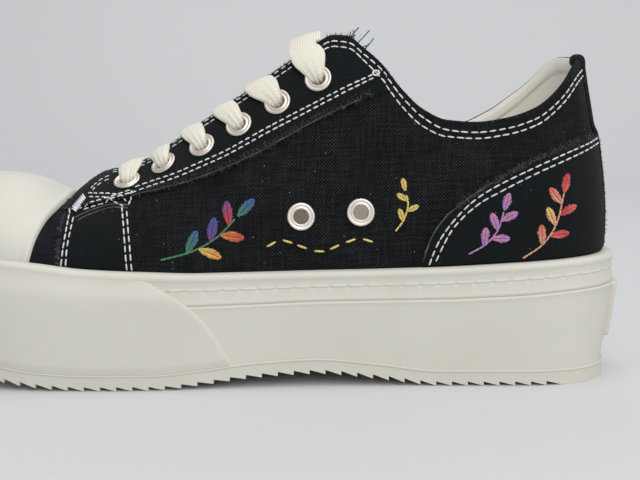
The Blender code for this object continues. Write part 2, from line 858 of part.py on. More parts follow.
def build_tongue():
    """Tongue under the throat, arched between the two facings."""
    sheet = Sheet()
    columns = []
    deep = WALL + TONGUE_DROP
    for u in places((TONGUE_FRONT, 0.34, 3), (0.34, TONGUE_REAR, 8)):
        column = []
        edges = {}
        for side in (MEDIAL, LATERAL):
            run = []
            for v in (0.86, 0.93, 1.0):
                outer = upper_out(side * u, v, -deep)
                inner = upper_out(side * u, v, -deep - TONGUE_THICKNESS)
                run.append((outer, inner))
            edges[side] = run
        left = edges[MEDIAL][2]
        right = edges[LATERAL][2]
        arch = curve(LAST, "around", "gap", u) * TONGUE_ARCH
        middle = tuple((a + b) / 2 + Vector((0, 0, arch)) for a, b in zip(left, right))
        for outer, inner in edges[MEDIAL] + [middle] + list(reversed(edges[LATERAL])):
            column.append(sheet.add(outer, inner))
        columns.append(column)
    sheet.grid(columns)
    return make("tongue", *sheet.solid(), CANVAS)


def frame_at(spot, side):
    """Surface point, outward normal and the two directions across it, at a side-view spot."""
    w, v = spoke_at(spot.x, spot.z, side)
    normal = upper_normal(w, v)
    along = (Vector((1, 0, 0)) - normal * normal.x).normalized()
    return upper_point(w, v), normal, along, normal.cross(along)


def turned(centre, axis, along, across, section):
    """Ring turned about an axis from a section of (radius, height)."""
    points = []
    faces = []
    count = len(section)
    for k in range(EYELET_SIDES):
        angle = 2 * math.pi * k / EYELET_SIDES
        out = along * math.cos(angle) + across * math.sin(angle)
        for radius, height in section:
            points.append(centre + out * radius + axis * height)
    for k in range(EYELET_SIDES):
        n = (k + 1) % EYELET_SIDES
        for j in range(count):
            m = (j + 1) % count
            faces.append((k * count + j, n * count + j, n * count + m, k * count + m))
    return points, faces


def build_eyelet(name, spot, side, seat):
    """Rolled metal eyelet that stands on the cloth and passes through it."""
    point, normal, along, across = frame_at(spot, side)
    section = (
        (EYELET_HOLE, -seat - EYELET_TAIL),
        (EYELET_BARREL, -seat - EYELET_TAIL),
        (EYELET_BARREL, 0.05),
        (EYELET_RIM, 0.05),
        (EYELET_RIM - EYELET_ROLL, EYELET_HEIGHT),
        (EYELET_HOLE + EYELET_ROLL / 2, EYELET_HEIGHT),
    )
    points, faces = turned(point + normal * seat, normal, along, across, section)
    return make(name, points, faces, NICKEL)


def build_cutter(spots):
    """Plugs that open the eyelet holes."""
    points = []
    faces = []
    for spot, side in spots:
        point, normal, along, across = frame_at(spot, side)
        start = len(points)
        for height in (-PLUG_DEPTH, PLUG_HEIGHT):
            for k in range(EYELET_SIDES):
                angle = 2 * math.pi * (k + 0.5) / EYELET_SIDES
                out = along * math.cos(angle) + across * math.sin(angle)
                points.append(point + out * EYELET_CUT + normal * height)
        n = EYELET_SIDES
        faces.append(tuple(start + k for k in reversed(range(n))))
        faces.append(tuple(start + n + k for k in range(n)))
        for k in range(n):
            m = (k + 1) % n
            faces.append((start + k, start + m, start + n + m, start + n + k))
    cutter = make("eyelet_plugs", points, faces, NICKEL)
    cutter.hide_render = True
    cutter.display_type = "WIRE"
    return cutter


def cut(thing, cutter):
    """Opens the eyelet holes of one piece."""
    step = thing.modifiers.new("eyelet_holes", "BOOLEAN")
    step.operation = "DIFFERENCE"
    step.solver = "EXACT"
    step.object = cutter


def lace_path(row):
    """Middle line of a bar from eyelet to eyelet, over both facings and the tongue."""
    lift = SEAT + LAYER + GAP + EYELET_HEIGHT + LACE_LIFT
    spot = EYELETS[row]
    bar = BARS[row]
    path = []
    for side in (MEDIAL, LATERAL):
        w, v = spoke_at(spot.x, spot.z, side)

        def behind(u, side=side):
            return upper_point(side * u, LACE_EDGE).x - (spot.x - bar.lean)
        edge = side * solve(THROAT + 0.004, 0.6, behind)
        run = []
        for share in (0.0, 0.4, 0.8, 1.0):
            place = w + (edge - w) * share
            level = v + (LACE_EDGE - v) * share
            point = upper_out(place, level, lift - LACE_SETTLE * share)
            run.append((point, upper_normal(place, level)))
        path.append(run)
    left = path[0]
    right = path[1]
    top = (left[-1][0] + right[-1][0]) / 2 + Vector((0, 0, bar.arch))
    up = (left[-1][1] + right[-1][1]).normalized()
    return left + [(top, up)] + list(reversed(right))


def build_lace(row):
    """Flat lace bar."""
    path = lace_path(row)
    points = []
    faces = []
    for k, (point, up) in enumerate(path):
        before = path[max(0, k - 1)][0]
        after = path[min(len(path) - 1, k + 1)][0]
        along = (after - before).normalized()
        across = along.cross(up).normalized()
        up = across.cross(along).normalized()
        half = LACE_WIDTH / 2
        thick = LACE_THICKNESS / 2
        if k in (0, len(path) - 1):
            half = half * LACE_PINCH
        for a, b in ((-half, 0), (-half * 0.8, thick), (half * 0.8, thick), (half, 0), (half * 0.8, -thick),
                     (-half * 0.8, -thick)):
            points.append(point + across * a + up * b)
    count = 6
    for k in range(len(path) - 1):
        for j in range(count):
            m = (j + 1) % count
            faces.append((k * count + j, k * count + m, (k + 1) * count + m, (k + 1) * count + j))
    last = (len(path) - 1) * count
    faces.append(tuple(range(count)))
    faces.append(tuple(last + j for j in range(count)))
    return make("lace_bar_%d" % (row + 1), points, faces, COTTON)


def main():
    """Builds every piece of the shoe."""
    for thing in list(bpy.data.objects):
        bpy.data.objects.remove(thing, do_unlink=True)
    build_outsole()
    build_midsole()
    build_foxing()
    build_bumper()
    build_heel_plate()
    build_insole()
    upper = build_upper()
    build_toe_cap()
    stays = [build_eyestay("eyestay_medial", MEDIAL), build_eyestay("eyestay_lateral", LATERAL)]
    build_counter()
    build_heel_strip()
    build_tongue()
    spots = [(spot, side) for side in (MEDIAL, LATERAL) for spot in EYELETS]
    spots += [(spot, MEDIAL) for spot in VENTS]
    cutter = build_cutter(spots)
    for thing in [upper] + stays:
        cut(thing, cutter)
    for side, label in ((MEDIAL, "medial"), (LATERAL, "lateral")):
        for row, spot in enumerate(EYELETS):
            build_eyelet("eyelet_%s_%d" % (label, row + 1), spot, side, SEAT + LAYER + GAP)
    for row, spot in enumerate(VENTS):
        build_eyelet("vent_%d" % (row + 1), spot, MEDIAL, GAP)
    for row in range(len(EYELETS)):
        build_lace(row)


main()
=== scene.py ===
"""Looks of a low-top platform canvas sneaker for the right foot.

Places and sizes are millimetres in the shoe's own frame: toe to -X, heel to +X, inner side to -Y,
floor at z = 0. Meshes are written in metres.
"""
import logging
import math
from dataclasses import dataclass, field
from enum import Enum
from typing import Callable, NamedTuple, Optional, Sequence, Union

import bmesh
import bpy
import numpy as np
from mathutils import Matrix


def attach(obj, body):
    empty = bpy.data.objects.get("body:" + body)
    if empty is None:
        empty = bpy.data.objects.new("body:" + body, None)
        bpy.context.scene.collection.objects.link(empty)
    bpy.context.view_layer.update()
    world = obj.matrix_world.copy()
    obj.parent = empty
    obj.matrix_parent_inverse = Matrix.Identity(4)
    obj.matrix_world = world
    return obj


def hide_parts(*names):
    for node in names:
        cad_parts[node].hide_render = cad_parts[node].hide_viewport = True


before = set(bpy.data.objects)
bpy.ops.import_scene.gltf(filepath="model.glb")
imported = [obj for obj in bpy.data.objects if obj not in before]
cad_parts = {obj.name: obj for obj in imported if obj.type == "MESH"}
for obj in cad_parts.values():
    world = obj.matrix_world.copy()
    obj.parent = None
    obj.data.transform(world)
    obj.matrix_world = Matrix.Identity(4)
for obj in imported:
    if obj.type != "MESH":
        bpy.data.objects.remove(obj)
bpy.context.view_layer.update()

Array = np.ndarray
Colour = tuple[float, float, float]
Material = bpy.types.Material
Node = bpy.types.Node
Outputs = bpy.types.NodeOutputs
Socket = bpy.types.NodeSocket
Value = Union[float, Colour, Socket]

MM = 0.001
FULL_TURN = 2 * math.pi
UP = np.array([0.0, 0.0, 1.0])
HALVINGS = 30
BODY = "root"
CLOTH_MAP = "cloth"
TINT = "tint"
log = logging.getLogger("sneaker")


class Side(Enum):
    """The two sides of the shoe, by the sign of Y."""

    MEDIAL = -1
    LATERAL = 1


class Slot(Enum):
    """Finishes that the record names."""

    RUBBER = "off_white_rubber"
    CANVAS = "black_canvas"
    EYELET = "nickel_eyelet"
    LACE = "cream_lace"
    INSOLE = "insole_cloth"


class PlanRow(NamedTuple):
    """Half-widths of the sole at its ledge, and its axis."""

    x: float
    medial: float
    lateral: float
    centre: float


class SideRow(NamedTuple):
    """Heights along the sole: tread base, ledge of the wall, top of the foxing."""

    x: float
    tread: float
    ledge: float
    top: float


class InsetRow(NamedTuple):
    """How far the wall's foot, and the upper, stand in from the ledge."""

    around: float
    foot: float
    upper: float


class LastRow(NamedTuple):
    """Where a spoke of the upper ends, its angles and handles, and how much taller the outer side is."""

    around: float
    x: float
    gap: float
    z: float
    arrive: float
    swell: float
    low: float
    high: float
    tall: float = 0.0


class Spot(NamedTuple):
    """A place seen from the side."""

    x: float
    z: float


class BandRow(NamedTuple):
    """Section of the foxing: rise from ledge to top, and inset from the plan."""

    rise: float
    inset: float


class CreaseRow(NamedTuple):
    """Soft trough (negative) or ridge in the cloth, seen from the side."""

    x: float
    z: float
    angle: float
    length: float
    width: float
    depth: float


def rows(kind: type, *values: tuple[float, ...]) -> tuple:
    """Table of one kind of row."""
    return tuple(kind(*value) for value in values)


PLAN = rows(
    PlanRow, (-131, 40, 39, -4), (-105, 42.5, 42, -2.6), (-78, 45.6, 44.4, -0.8), (-57, 46.4, 46, 0),
    (-38, 45.2, 46.4, 0), (-10, 41, 44.2, 0), (20, 37.9, 40.6, 0), (50, 37.3, 38.4, 0),
    (85, 37.6, 37.6, 0), (131, 37, 37, 0),
)
SIDE = rows(
    SideRow, (-131, 11, 37.4, 51), (-115, 6.6, 35.4, 49.2), (-97, 2.9, 33, 47), (-82, 0.9, 31.2, 45.4),
    (-66, 0, 30.3, 43.4), (-42, 0, 30, 42.2), (-25, 1.4, 30.1, 41.6), (-5, 3.6, 30.5, 41.7),
    (17, 4.5, 31.1, 42), (38, 2.6, 31.4, 42.4), (62, 0, 31.8, 43.2), (88, 0, 33, 44.7),
    (110, 0, 34.6, 46.1), (131, 0, 35.5, 47),
)
INSET = rows(
    InsetRow, (0, 2.4, 4.8), (0.2, 1.5, 4.8), (0.5, 1.2, 4.8), (0.85, 2, 5), (1, 5.2, 6.2),
)
BAND = rows(
    BandRow, (0, 0.3), (0.1, 0.55), (0.24, 0.8), (0.4, 0.85), (0.7, 0.85), (0.755, 0.62), (0.8, 0.36),
    (0.885, 0.42), (0.94, 0.85), (0.98, 1.6), (1, 2.4),
)
LAST = rows(
    LastRow, (0, -106, 0, 73, 0, 2, 0.6, 0.62), (0.06, -103, 0, 73.1, 0, 3, 0.58, 0.6),
    (0.12, -98, 0, 72.8, 0, 4, 0.56, 0.58), (0.17, -91.5, 0, 71.6, 0, 4, 0.54, 0.56),
    (0.205, -84, 0, 69.2, 0, 4, 0.52, 0.55), (0.235, -76, 0, 67, 0, 4, 0.5, 0.54),
    (0.265, -69, 0, 71.4, 0, 4, 0.48, 0.52), (0.285, -65, 0, 73.8, 4, 4, 0.46, 0.5),
    (0.3, -61.5, 5.2, 75, 10, 4, 0.45, 0.48), (0.32, -56, 8, 76.6, 18, 4, 0.44, 0.46),
    (0.35, -46.5, 9.4, 79.8, 26, 4, 0.42, 0.43), (0.38, -37.5, 10.4, 86, 32, 4, 0.4, 0.4),
    (0.42, -25, 11.4, 94.6, 40, 4, 0.38, 0.37), (0.47, -9.5, 12.4, 105.2, 48, 4, 0.36, 0.34),
    (0.52, 6, 13.2, 116.2, 54, 4, 0.35, 0.32), (0.56, 17.5, 13.8, 124, 58, 4, 0.34, 0.3),
    (0.578, 23, 14.4, 126.6, 60, 4, 0.34, 0.3), (0.595, 28, 16, 126.2, 62, 4, 0.34, 0.3),
    (0.612, 33.5, 18.4, 122, 64, 4, 0.34, 0.3), (0.632, 40.5, 21.6, 115.6, 68, 4, 0.34, 0.3),
    (0.655, 47.5, 24.6, 106.6, 72, 4, 0.34, 0.3, -0.5), (0.68, 55, 26.6, 99.4, 75, 4, 0.34, 0.3, -1.4),
    (0.71, 63.5, 28, 95.4, 77, 4, 0.34, 0.3, -2.2), (0.745, 74, 28.4, 94.6, 78, 4, 0.34, 0.3, -1.6),
    (0.785, 85, 28, 96, 78, 4, 0.34, 0.3, 1.6), (0.83, 96.5, 26.2, 99.8, 79, 5, 0.34, 0.3, 5.8),
    (0.88, 106.5, 20.8, 107.6, 80, 6, 0.34, 0.3, 7.2), (0.93, 112.8, 13.4, 115, 81, 5.5, 0.34, 0.3, 3.8),
    (1, 117, 0, 118, 82, 6, 0.34, 0.3), (1.07, 112.8, -13.4, 115, 81, 5.5, 0.34, 0.3, 3.8),
)
CAP_EDGE = rows(
    Spot, (-86.2, 44), (-85.2, 48), (-83.6, 54), (-81.4, 59.5), (-78.6, 63.5), (-76.6, 66), (-75.4, 69),
)
FACING_EDGE = rows(
    Spot, (-75, 62.6), (-62, 65.4), (-50.5, 67.6), (-31.8, 72.6), (-9.5, 81.4), (17.8, 96.2),
    (32.6, 103.2), (45, 107),
)
COUNTER_EDGE = rows(
    Spot, (54.4, 41.5), (55.2, 46), (57.6, 53), (62.2, 60.2), (67.1, 64.8), (73.1, 69.2), (80, 73.6),
    (91.2, 79.6), (104.8, 85.5), (126, 91.4),
)
BUMPER_EDGE = rows(
    Spot, (-12.6, 2), (-15.6, 9.6), (-19.3, 16.2), (-23.5, 22.9), (-30.5, 30.2), (-44.2, 39), (-58, 46),
)
EYELETS = rows(
    Spot, (-53.1, 72.1), (-39.1, 78.6), (-24.9, 85.5), (-11.4, 93.3), (2.7, 101.6), (17.5, 110.2),
)
VENTS = rows(
    Spot, (10.9, 61.4), (32.5, 62.9),
)
PANEL_FRONT = rows(
    Spot, (-75.5, 42), (-75.3, 51.1), (-75.3, 57.3), (-75.7, 66),
)
PANEL_REAR = rows(
    Spot, (-47.2, 41), (-48.2, 50.1), (-49.4, 57.7), (-51, 66), (-52, 70),
)
CREASES = rows(
    CreaseRow, (-30, 62, 62, 11, 4.5, -0.45), (-20, 57, 58, 13, 5, 0.35), (48, 84, 20, 15, 5, -0.55),
    (45, 76, 15, 14, 5.5, 0.4), (80, 86, -12, 16, 4.5, -0.35), (106, 96, 8, 10, 5, -0.6),
    (-60, 54, 80, 9, 4, -0.3),
)


def unit(vectors: Array) -> Array:
    """Vectors scaled to length one."""
    return vectors / np.maximum(np.linalg.norm(vectors, axis=-1, keepdims=True), 1e-12)


def wrapped(w: Array) -> Array:
    """Place around the shoe: 0 toe, -1 and 1 heel back, negative on the medial side."""
    return np.where(w > 1, w - 2, np.where(w < -1, w + 2, w))


class Curve:
    """Smooth curve through points, without overshoot."""

    def __init__(self, keys: Sequence[float], values: Sequence[float]) -> None:
        """Stores the points and works out their slopes.

        Args:
            keys: Rising places.
            values: The value at each place.
        """
        self.keys = np.array(keys, float)
        self.values = np.array(values, float)
        rise = np.diff(self.values) / np.diff(self.keys)
        product = rise[:-1] * rise[1:]
        total = rise[:-1] + rise[1:]
        inner = np.where(product > 0, 2 * product / np.where(total == 0, 1, total), 0.0)
        self.slopes = np.concatenate(([rise[0]], inner, [rise[-1]]))

    def __call__(self, at: Array) -> Array:
        """Values at places; beyond the ends the end values hold.

        Args:
            at: Places of any shape.

        Returns:
            Values of the same shape.
        """
        at = np.clip(at, self.keys[0], self.keys[-1])
        k = np.clip(np.searchsorted(self.keys, at, side="left") - 1, 0, len(self.keys) - 2)
        span = self.keys[k + 1] - self.keys[k]
        t = (at - self.keys[k]) / span
        r = 1 - t
        held = (1 + 2 * t) * r * r * self.values[k] + t * t * (3 - 2 * t) * self.values[k + 1]
        return held + span * (t * r * r * self.slopes[k] - t * t * r * self.slopes[k + 1])


def curves(table: Sequence[NamedTuple], key: str) -> dict[str, Curve]:
    """Curves of every other column of a table.

    Args:
        table: Its rows.
        key: Column that the others run along.

    Returns:
        A curve for each column name.
    """
    keys = [getattr(row, key) for row in table]
    names = [name for name in table[0]._fields if name != key]
    return {name: Curve(keys, [getattr(row, name) for row in table]) for name in names}


def bisect(low: Array, high: Array, measure: Callable[[Array], Array]) -> Array:
    """Places where a measure changes sign.

    Args:
        low: Lower ends.
        high: Upper ends.
        measure: Works on an array of places.

    Returns:
        The places.
    """
    low = np.array(low, float)
    high = np.array(high, float)
    rising = measure(low) < 0
    for _ in range(HALVINGS):
        middle = (low + high) / 2
        below = (measure(middle) < 0) == rising
        low = np.where(below, middle, low)
        high = np.where(below, high, middle)
    return (low + high) / 2


def above(point: Array, line: Curve) -> Array:
    """Height of points above a line given as z over x."""
    return point[..., 2] - line(point[..., 0])


def past(point: Array, line: Curve) -> Array:
    """Distance of points behind a line given as x over z."""
    return point[..., 0] - line(point[..., 2])


def arc(line: Array) -> Array:
    """Length from the start of a polyline to each of its points."""
    steps = np.linalg.norm(np.diff(line, axis=0), axis=1)
    return np.concatenate(([0.0], np.cumsum(steps)))


def along_line(line: Array, lengths: Array, at: Array) -> Array:
    """Points (or directions) of a polyline at wanted lengths, from those at known lengths."""
    return np.stack([np.interp(at, lengths, line[:, k]) for k in range(3)], axis=-1)


def paired(a: Array, b: Array) -> Array:
    """Pairs of two sets of lengths, broadcast to each other."""
    return np.stack(np.broadcast_arrays(a, b), axis=-1)


def eased(line: Array, rounds: int) -> Array:
    """Polyline with its inner points drawn towards their neighbours.

    Args:
        line: The points.
        rounds: How many times.

    Returns:
        The softer line.
    """
    line = line.copy()
    for _ in range(rounds):
        line[1:-1] = (line[:-2] + 2 * line[1:-1] + line[2:]) / 4
    return line


@dataclass
class Form:
    """Form of the shoe: sole plan, side lines and last."""

    toe_tip: float = -130.7
    toe_start: float = -78.0
    heel_start: float = 92.0
    heel_tip: float = 130.3
    toe_fullness: float = 2.45
    heel_fullness: float = 2.25
    toe_zone: float = 0.25
    heel_zone: float = 0.80
    throat: float = 0.285
    gap: float = 0.3
    outsole_height: float = 5.8
    wall: float = 2.0
    probe: float = 0.004
    ridge_probe: float = 0.01
    ridge_past: float = 0.02
    ridge_fade: float = 0.03
    level_probe: float = 0.01
    upright: float = 0.011
    handle: float = 0.9
    seek_step: float = 0.002
    seek_rounds: int = 6
    nets: dict[Side, tuple[Array, Array, Array]] = field(default_factory=dict)

    def __post_init__(self) -> None:
        """Makes the curves of the tables and the lengths along the cloth."""
        self.plan_of = curves(PLAN, "x")
        self.side_of = curves(SIDE, "x")
        self.inset_of = curves(INSET, "around")
        self.last_of = curves(LAST, "around")
        self.stops = np.linspace(-1, 1, 1601)
        base = self.point(self.stops, np.full_like(self.stops, 0.25))
        self.girth = arc(base)
        self.girth -= np.interp(0.0, self.stops, self.girth)
        spokes = self.point(self.stops[:, None], np.linspace(0, 1, 15)[None])
        self.spoke = np.linalg.norm(np.diff(spokes, axis=1), axis=2).sum(axis=1)

    def plan(self, w: Array) -> Array:
        """Points of the sole's plan at its ledge.

        Args:
            w: Places around.

        Returns:
            Points with z = 0.
        """
        w = wrapped(np.asarray(w, float))
        u = np.abs(w)
        toe = np.clip(1 - u / self.toe_zone, 0, 1) * math.pi / 2
        heel = np.clip((u - self.heel_zone) / (1 - self.heel_zone), 0, 1) * math.pi / 2
        middle = np.clip((u - self.toe_zone) / (self.heel_zone - self.toe_zone), 0, 1)
        x = self.toe_start + (self.heel_start - self.toe_start) * middle
        x = x + (self.toe_tip - self.toe_start) * np.sin(toe) ** (2 / self.toe_fullness)
        x = x + (self.heel_tip - self.heel_start) * np.sin(heel) ** (2 / self.heel_fullness)
        share = np.maximum(np.cos(toe), 0) ** (2 / self.toe_fullness)
        share = share * np.maximum(np.cos(heel), 0) ** (2 / self.heel_fullness)
        half = np.where(w < 0, -self.plan_of["medial"](x), self.plan_of["lateral"](x))
        return np.stack([x, self.plan_of["centre"](x) + half * share, np.zeros_like(x)], axis=-1)

    def plan_in(self, w: Array, inset: Array) -> Array:
        """Points of the plan moved inwards, square to its outline.

        Args:
            w: Places around.
            inset: Distances.

        Returns:
            Points with z = 0.
        """
        along = self.plan(w + self.probe) - self.plan(w - self.probe)
        inward = unit(np.stack([along[..., 1], -along[..., 0], np.zeros_like(along[..., 0])], axis=-1))
        return self.plan(w) + inward * np.asarray(inset)[..., None]

    def outsole_top(self, x: Array) -> Array:
        """Height of the line between outsole and wall."""
        return self.side_of["tread"](x) + self.outsole_height

    def wall_point(self, w: Array, level: Array, out: Array = 0.0) -> Array:
        """Points of the platform's side.

        Args:
            w: Places around.
            level: 0 at the outsole, 1 at the ledge, 2 at the foxing top.
            out: Distance outside the side.

        Returns:
            The points.
        """
        w, level, out = np.broadcast_arrays(w, level, out)
        lean = self.inset_of["foot"](np.abs(w)) * np.maximum(0, 1 - level)
        point = self.plan_in(w, lean - out)
        low = self.outsole_top(point[..., 0]) + self.gap
        ledge = self.side_of["ledge"](point[..., 0])
        top = self.side_of["top"](point[..., 0])
        upper = ledge + (top - ledge) * (level - 1)
        point[..., 2] = np.where(level <= 1, low + (ledge - low) * level, upper)
        return point

    def ridge_run(self, u: Array) -> tuple[Array, Array]:
        """Run and climb of the top line around a place.

        Args:
            u: Places around, without a side.

        Returns:
            Run and climb.
        """
        ahead = u + self.ridge_probe
        behind = np.maximum(0.0, u - self.ridge_probe)
        run = self.last_of["x"](ahead) - self.last_of["x"](behind)
        return run, self.last_of["z"](ahead) - self.last_of["z"](behind)

    def point(self, w: Array, v: Array) -> Array:
        """Points of the upper's outer face.

        Args:
            w: Places around.
            v: 0 at the foxing top, 1 at the top line, -1 at the feather edge.

        Returns:
            The points.
        """
        w, v = np.broadcast_arrays(wrapped(np.asarray(w, float)), np.asarray(v, float))
        u = np.abs(w)
        last = {name: curve(u) for name, curve in self.last_of.items()}
        base = self.plan_in(w, self.inset_of["upper"](u))
        top_of_band = self.side_of["top"](base[..., 0])
        feather = self.side_of["ledge"](base[..., 0]) + self.gap
        base[..., 2] = top_of_band
        side = np.where(w < 0, -1.0, 1.0)
        end_y = self.plan_of["centre"](last["x"]) + side * last["gap"]
        end = np.stack([last["x"], end_y, last["z"] + np.where(w < 0, 0.0, last["tall"])], axis=-1)
        level = end - base
        rise = level[..., 2].copy()
        level[..., 2] = 0
        reach = np.linalg.norm(level, axis=-1)
        level = unit(level)
        swell = np.radians(last["swell"])
        arrive = np.radians(last["arrive"])
        leave = UP * np.cos(swell)[..., None] - level * np.sin(swell)[..., None]
        come = level * np.cos(arrive)[..., None] + UP * np.sin(arrive)[..., None]
        run, climb = self.ridge_run(u)
        fade = np.clip((self.throat + self.ridge_past - u) / self.ridge_fade, 0, 1)
        come[..., 2] += fade * climb / run * level[..., 0]
        one = base + leave * (last["low"] * rise)[..., None]
        two = end - come * (last["high"] * np.hypot(reach, rise) * self.handle)[..., None]
        t = np.maximum(v, 0)[..., None]
        r = 1 - t
        point = base * r ** 3 + one * (3 * r * r * t) + two * (3 * r * t * t) + end * t ** 3
        point[..., 2] += np.maximum(-v, 0) * (feather - top_of_band)
        return point

    def normal(self, w: Array, v: Array) -> Array:
        """Outward normals of the upper; on the closed ridge both sides share them.

        Args:
            w: Places around.
            v: Levels.

        Returns:
            Unit vectors.
        """
        w, v = np.broadcast_arrays(np.asarray(w, float), np.asarray(v, float))
        low = np.maximum(v, 0)
        v_high = np.minimum(1.0, low + self.level_probe)
        along = self.point(w + self.probe, low) - self.point(w - self.probe, low)
        across = self.point(w, v_high) - self.point(w, v_high - 2 * self.level_probe)
        across = np.where((v < self.upright)[..., None], UP, across)
        square = unit(np.cross(across, along))
        run, climb = self.ridge_run(np.abs(wrapped(w)))
        ridge = unit(np.stack([-climb, np.zeros_like(run), run], axis=-1))
        on_ridge = (v > 0.999) & (np.abs(w) < self.throat)
        return np.where(on_ridge[..., None], ridge, square)

    def relief(self, points: Array) -> Array:
        """Height of the creases at points of the cloth.

        Args:
            points: Places on the upper.

        Returns:
            Heights, negative in a trough.
        """
        total = np.zeros(points.shape[:-1])
        for row in CREASES:
            turn = math.radians(row.angle)
            dx = points[..., 0] - row.x
            dz = points[..., 2] - row.z
            along = (dx * math.cos(turn) + dz * math.sin(turn)) / row.length
            across = (dz * math.cos(turn) - dx * math.sin(turn)) / row.width
            total += row.depth * np.exp(-along ** 4 - across ** 2)
        return total

    def out(self, w: Array, v: Array, height: Array) -> Array:
        """Points at a height over the creased cloth.

        Args:
            w: Places around.
            v: Levels.
            height: Distances outside the face.

        Returns:
            The points.
        """
        point = self.point(w, v)
        lift = self.relief(point) + height
        return point + self.normal(w, v) * lift[..., None]

    def cloth(self, w: Array, v: Array) -> Array:
        """Cloth coordinates: length around and length up the spoke.

        Args:
            w: Places around.
            v: Levels.

        Returns:
            Pairs of lengths.
        """
        w, v = np.broadcast_arrays(np.asarray(w, float), np.asarray(v, float))
        around = np.interp(w, self.stops, self.girth)
        return np.stack([around, v * np.interp(w, self.stops, self.spoke)], axis=-1)

    def below_top(self, w: Array, below: Array) -> Array:
        """Levels at a distance below the top line.

        Args:
            w: Places around.
            below: Distance along the spoke.

        Returns:
            The levels.
        """
        v = np.linspace(1.0, 0.4, 121)
        run = self.point(w[:, None], v[None])
        down = np.cumsum(np.linalg.norm(np.diff(run, axis=1), axis=2), axis=1)
        below = np.broadcast_to(below, len(w))
        return np.array([np.interp(low, row, v[1:]) for low, row in zip(below, down)])

    def even(self, count: int) -> Array:
        """Places around that stand equally far apart along the cloth."""
        return np.interp(np.linspace(self.girth[0], self.girth[-1], count), self.girth, self.stops)

    def under(self, w: Array, edge: Sequence[Spot]) -> Array:
        """Levels where spokes cross an edge given as z over x."""
        line = curves(edge, "x")["z"]
        return bisect(np.zeros_like(w), np.ones_like(w), lambda v: above(self.point(w, v), line))

    def behind(self, v: Array, edge: Sequence[Spot], side: Side, first: float, last: float) -> Array:
        """Places around where levels cross an edge given as x over z.

        Args:
            v: Levels.
            edge: The edge.
            side: Side of the shoe.
            first: Place before it.
            last: Place after it.

        Returns:
            Places, positive on both sides.
        """
        line = curves(edge, "z")["x"]
        return bisect(np.full_like(v, first), np.full_like(v, last),
                      lambda u: past(self.point(side.value * u, v), line))

    def at(self, x: Array, z: Array, side: Side) -> tuple[Array, Array]:
        """Places (w, v) on one side that have these side-view coordinates.

        Args:
            x: Lengths.
            z: Heights.
            side: Side of the shoe.

        Returns:
            Places around and levels.
        """
        if side not in self.nets:
            u, v = np.meshgrid(np.linspace(0.2, 0.985, 180), np.linspace(0, 1, 60), indexing="ij")
            self.nets[side] = (u.ravel(), v.ravel(), self.point(side.value * u, v).reshape(-1, 3))
        net_u, net_v, net = self.nets[side]
        x = np.asarray(x, float)
        z = np.asarray(z, float)
        pairs = zip(x.ravel(), z.ravel())
        near = [np.argmin((net[:, 0] - a) ** 2 + (net[:, 2] - b) ** 2) for a, b in pairs]
        u = net_u[near].reshape(x.shape)
        v = net_v[near].reshape(x.shape)
        step = self.seek_step
        for _ in range(self.seek_rounds):
            here = self.point(side.value * u, v)
            du = (self.point(side.value * (u + step), v) - here) / step
            dv = (self.point(side.value * u, v - step) - here) / -step
            det = du[..., 0] * dv[..., 2] - dv[..., 0] * du[..., 2]
            miss_x = x - here[..., 0]
            miss_z = z - here[..., 2]
            u = u + np.clip((miss_x * dv[..., 2] - miss_z * dv[..., 0]) / det, -0.02, 0.02)
            v = np.clip(v + np.clip((du[..., 0] * miss_z - du[..., 2] * miss_x) / det, -0.05, 0.05), 0, 1)
        return side.value * u, v


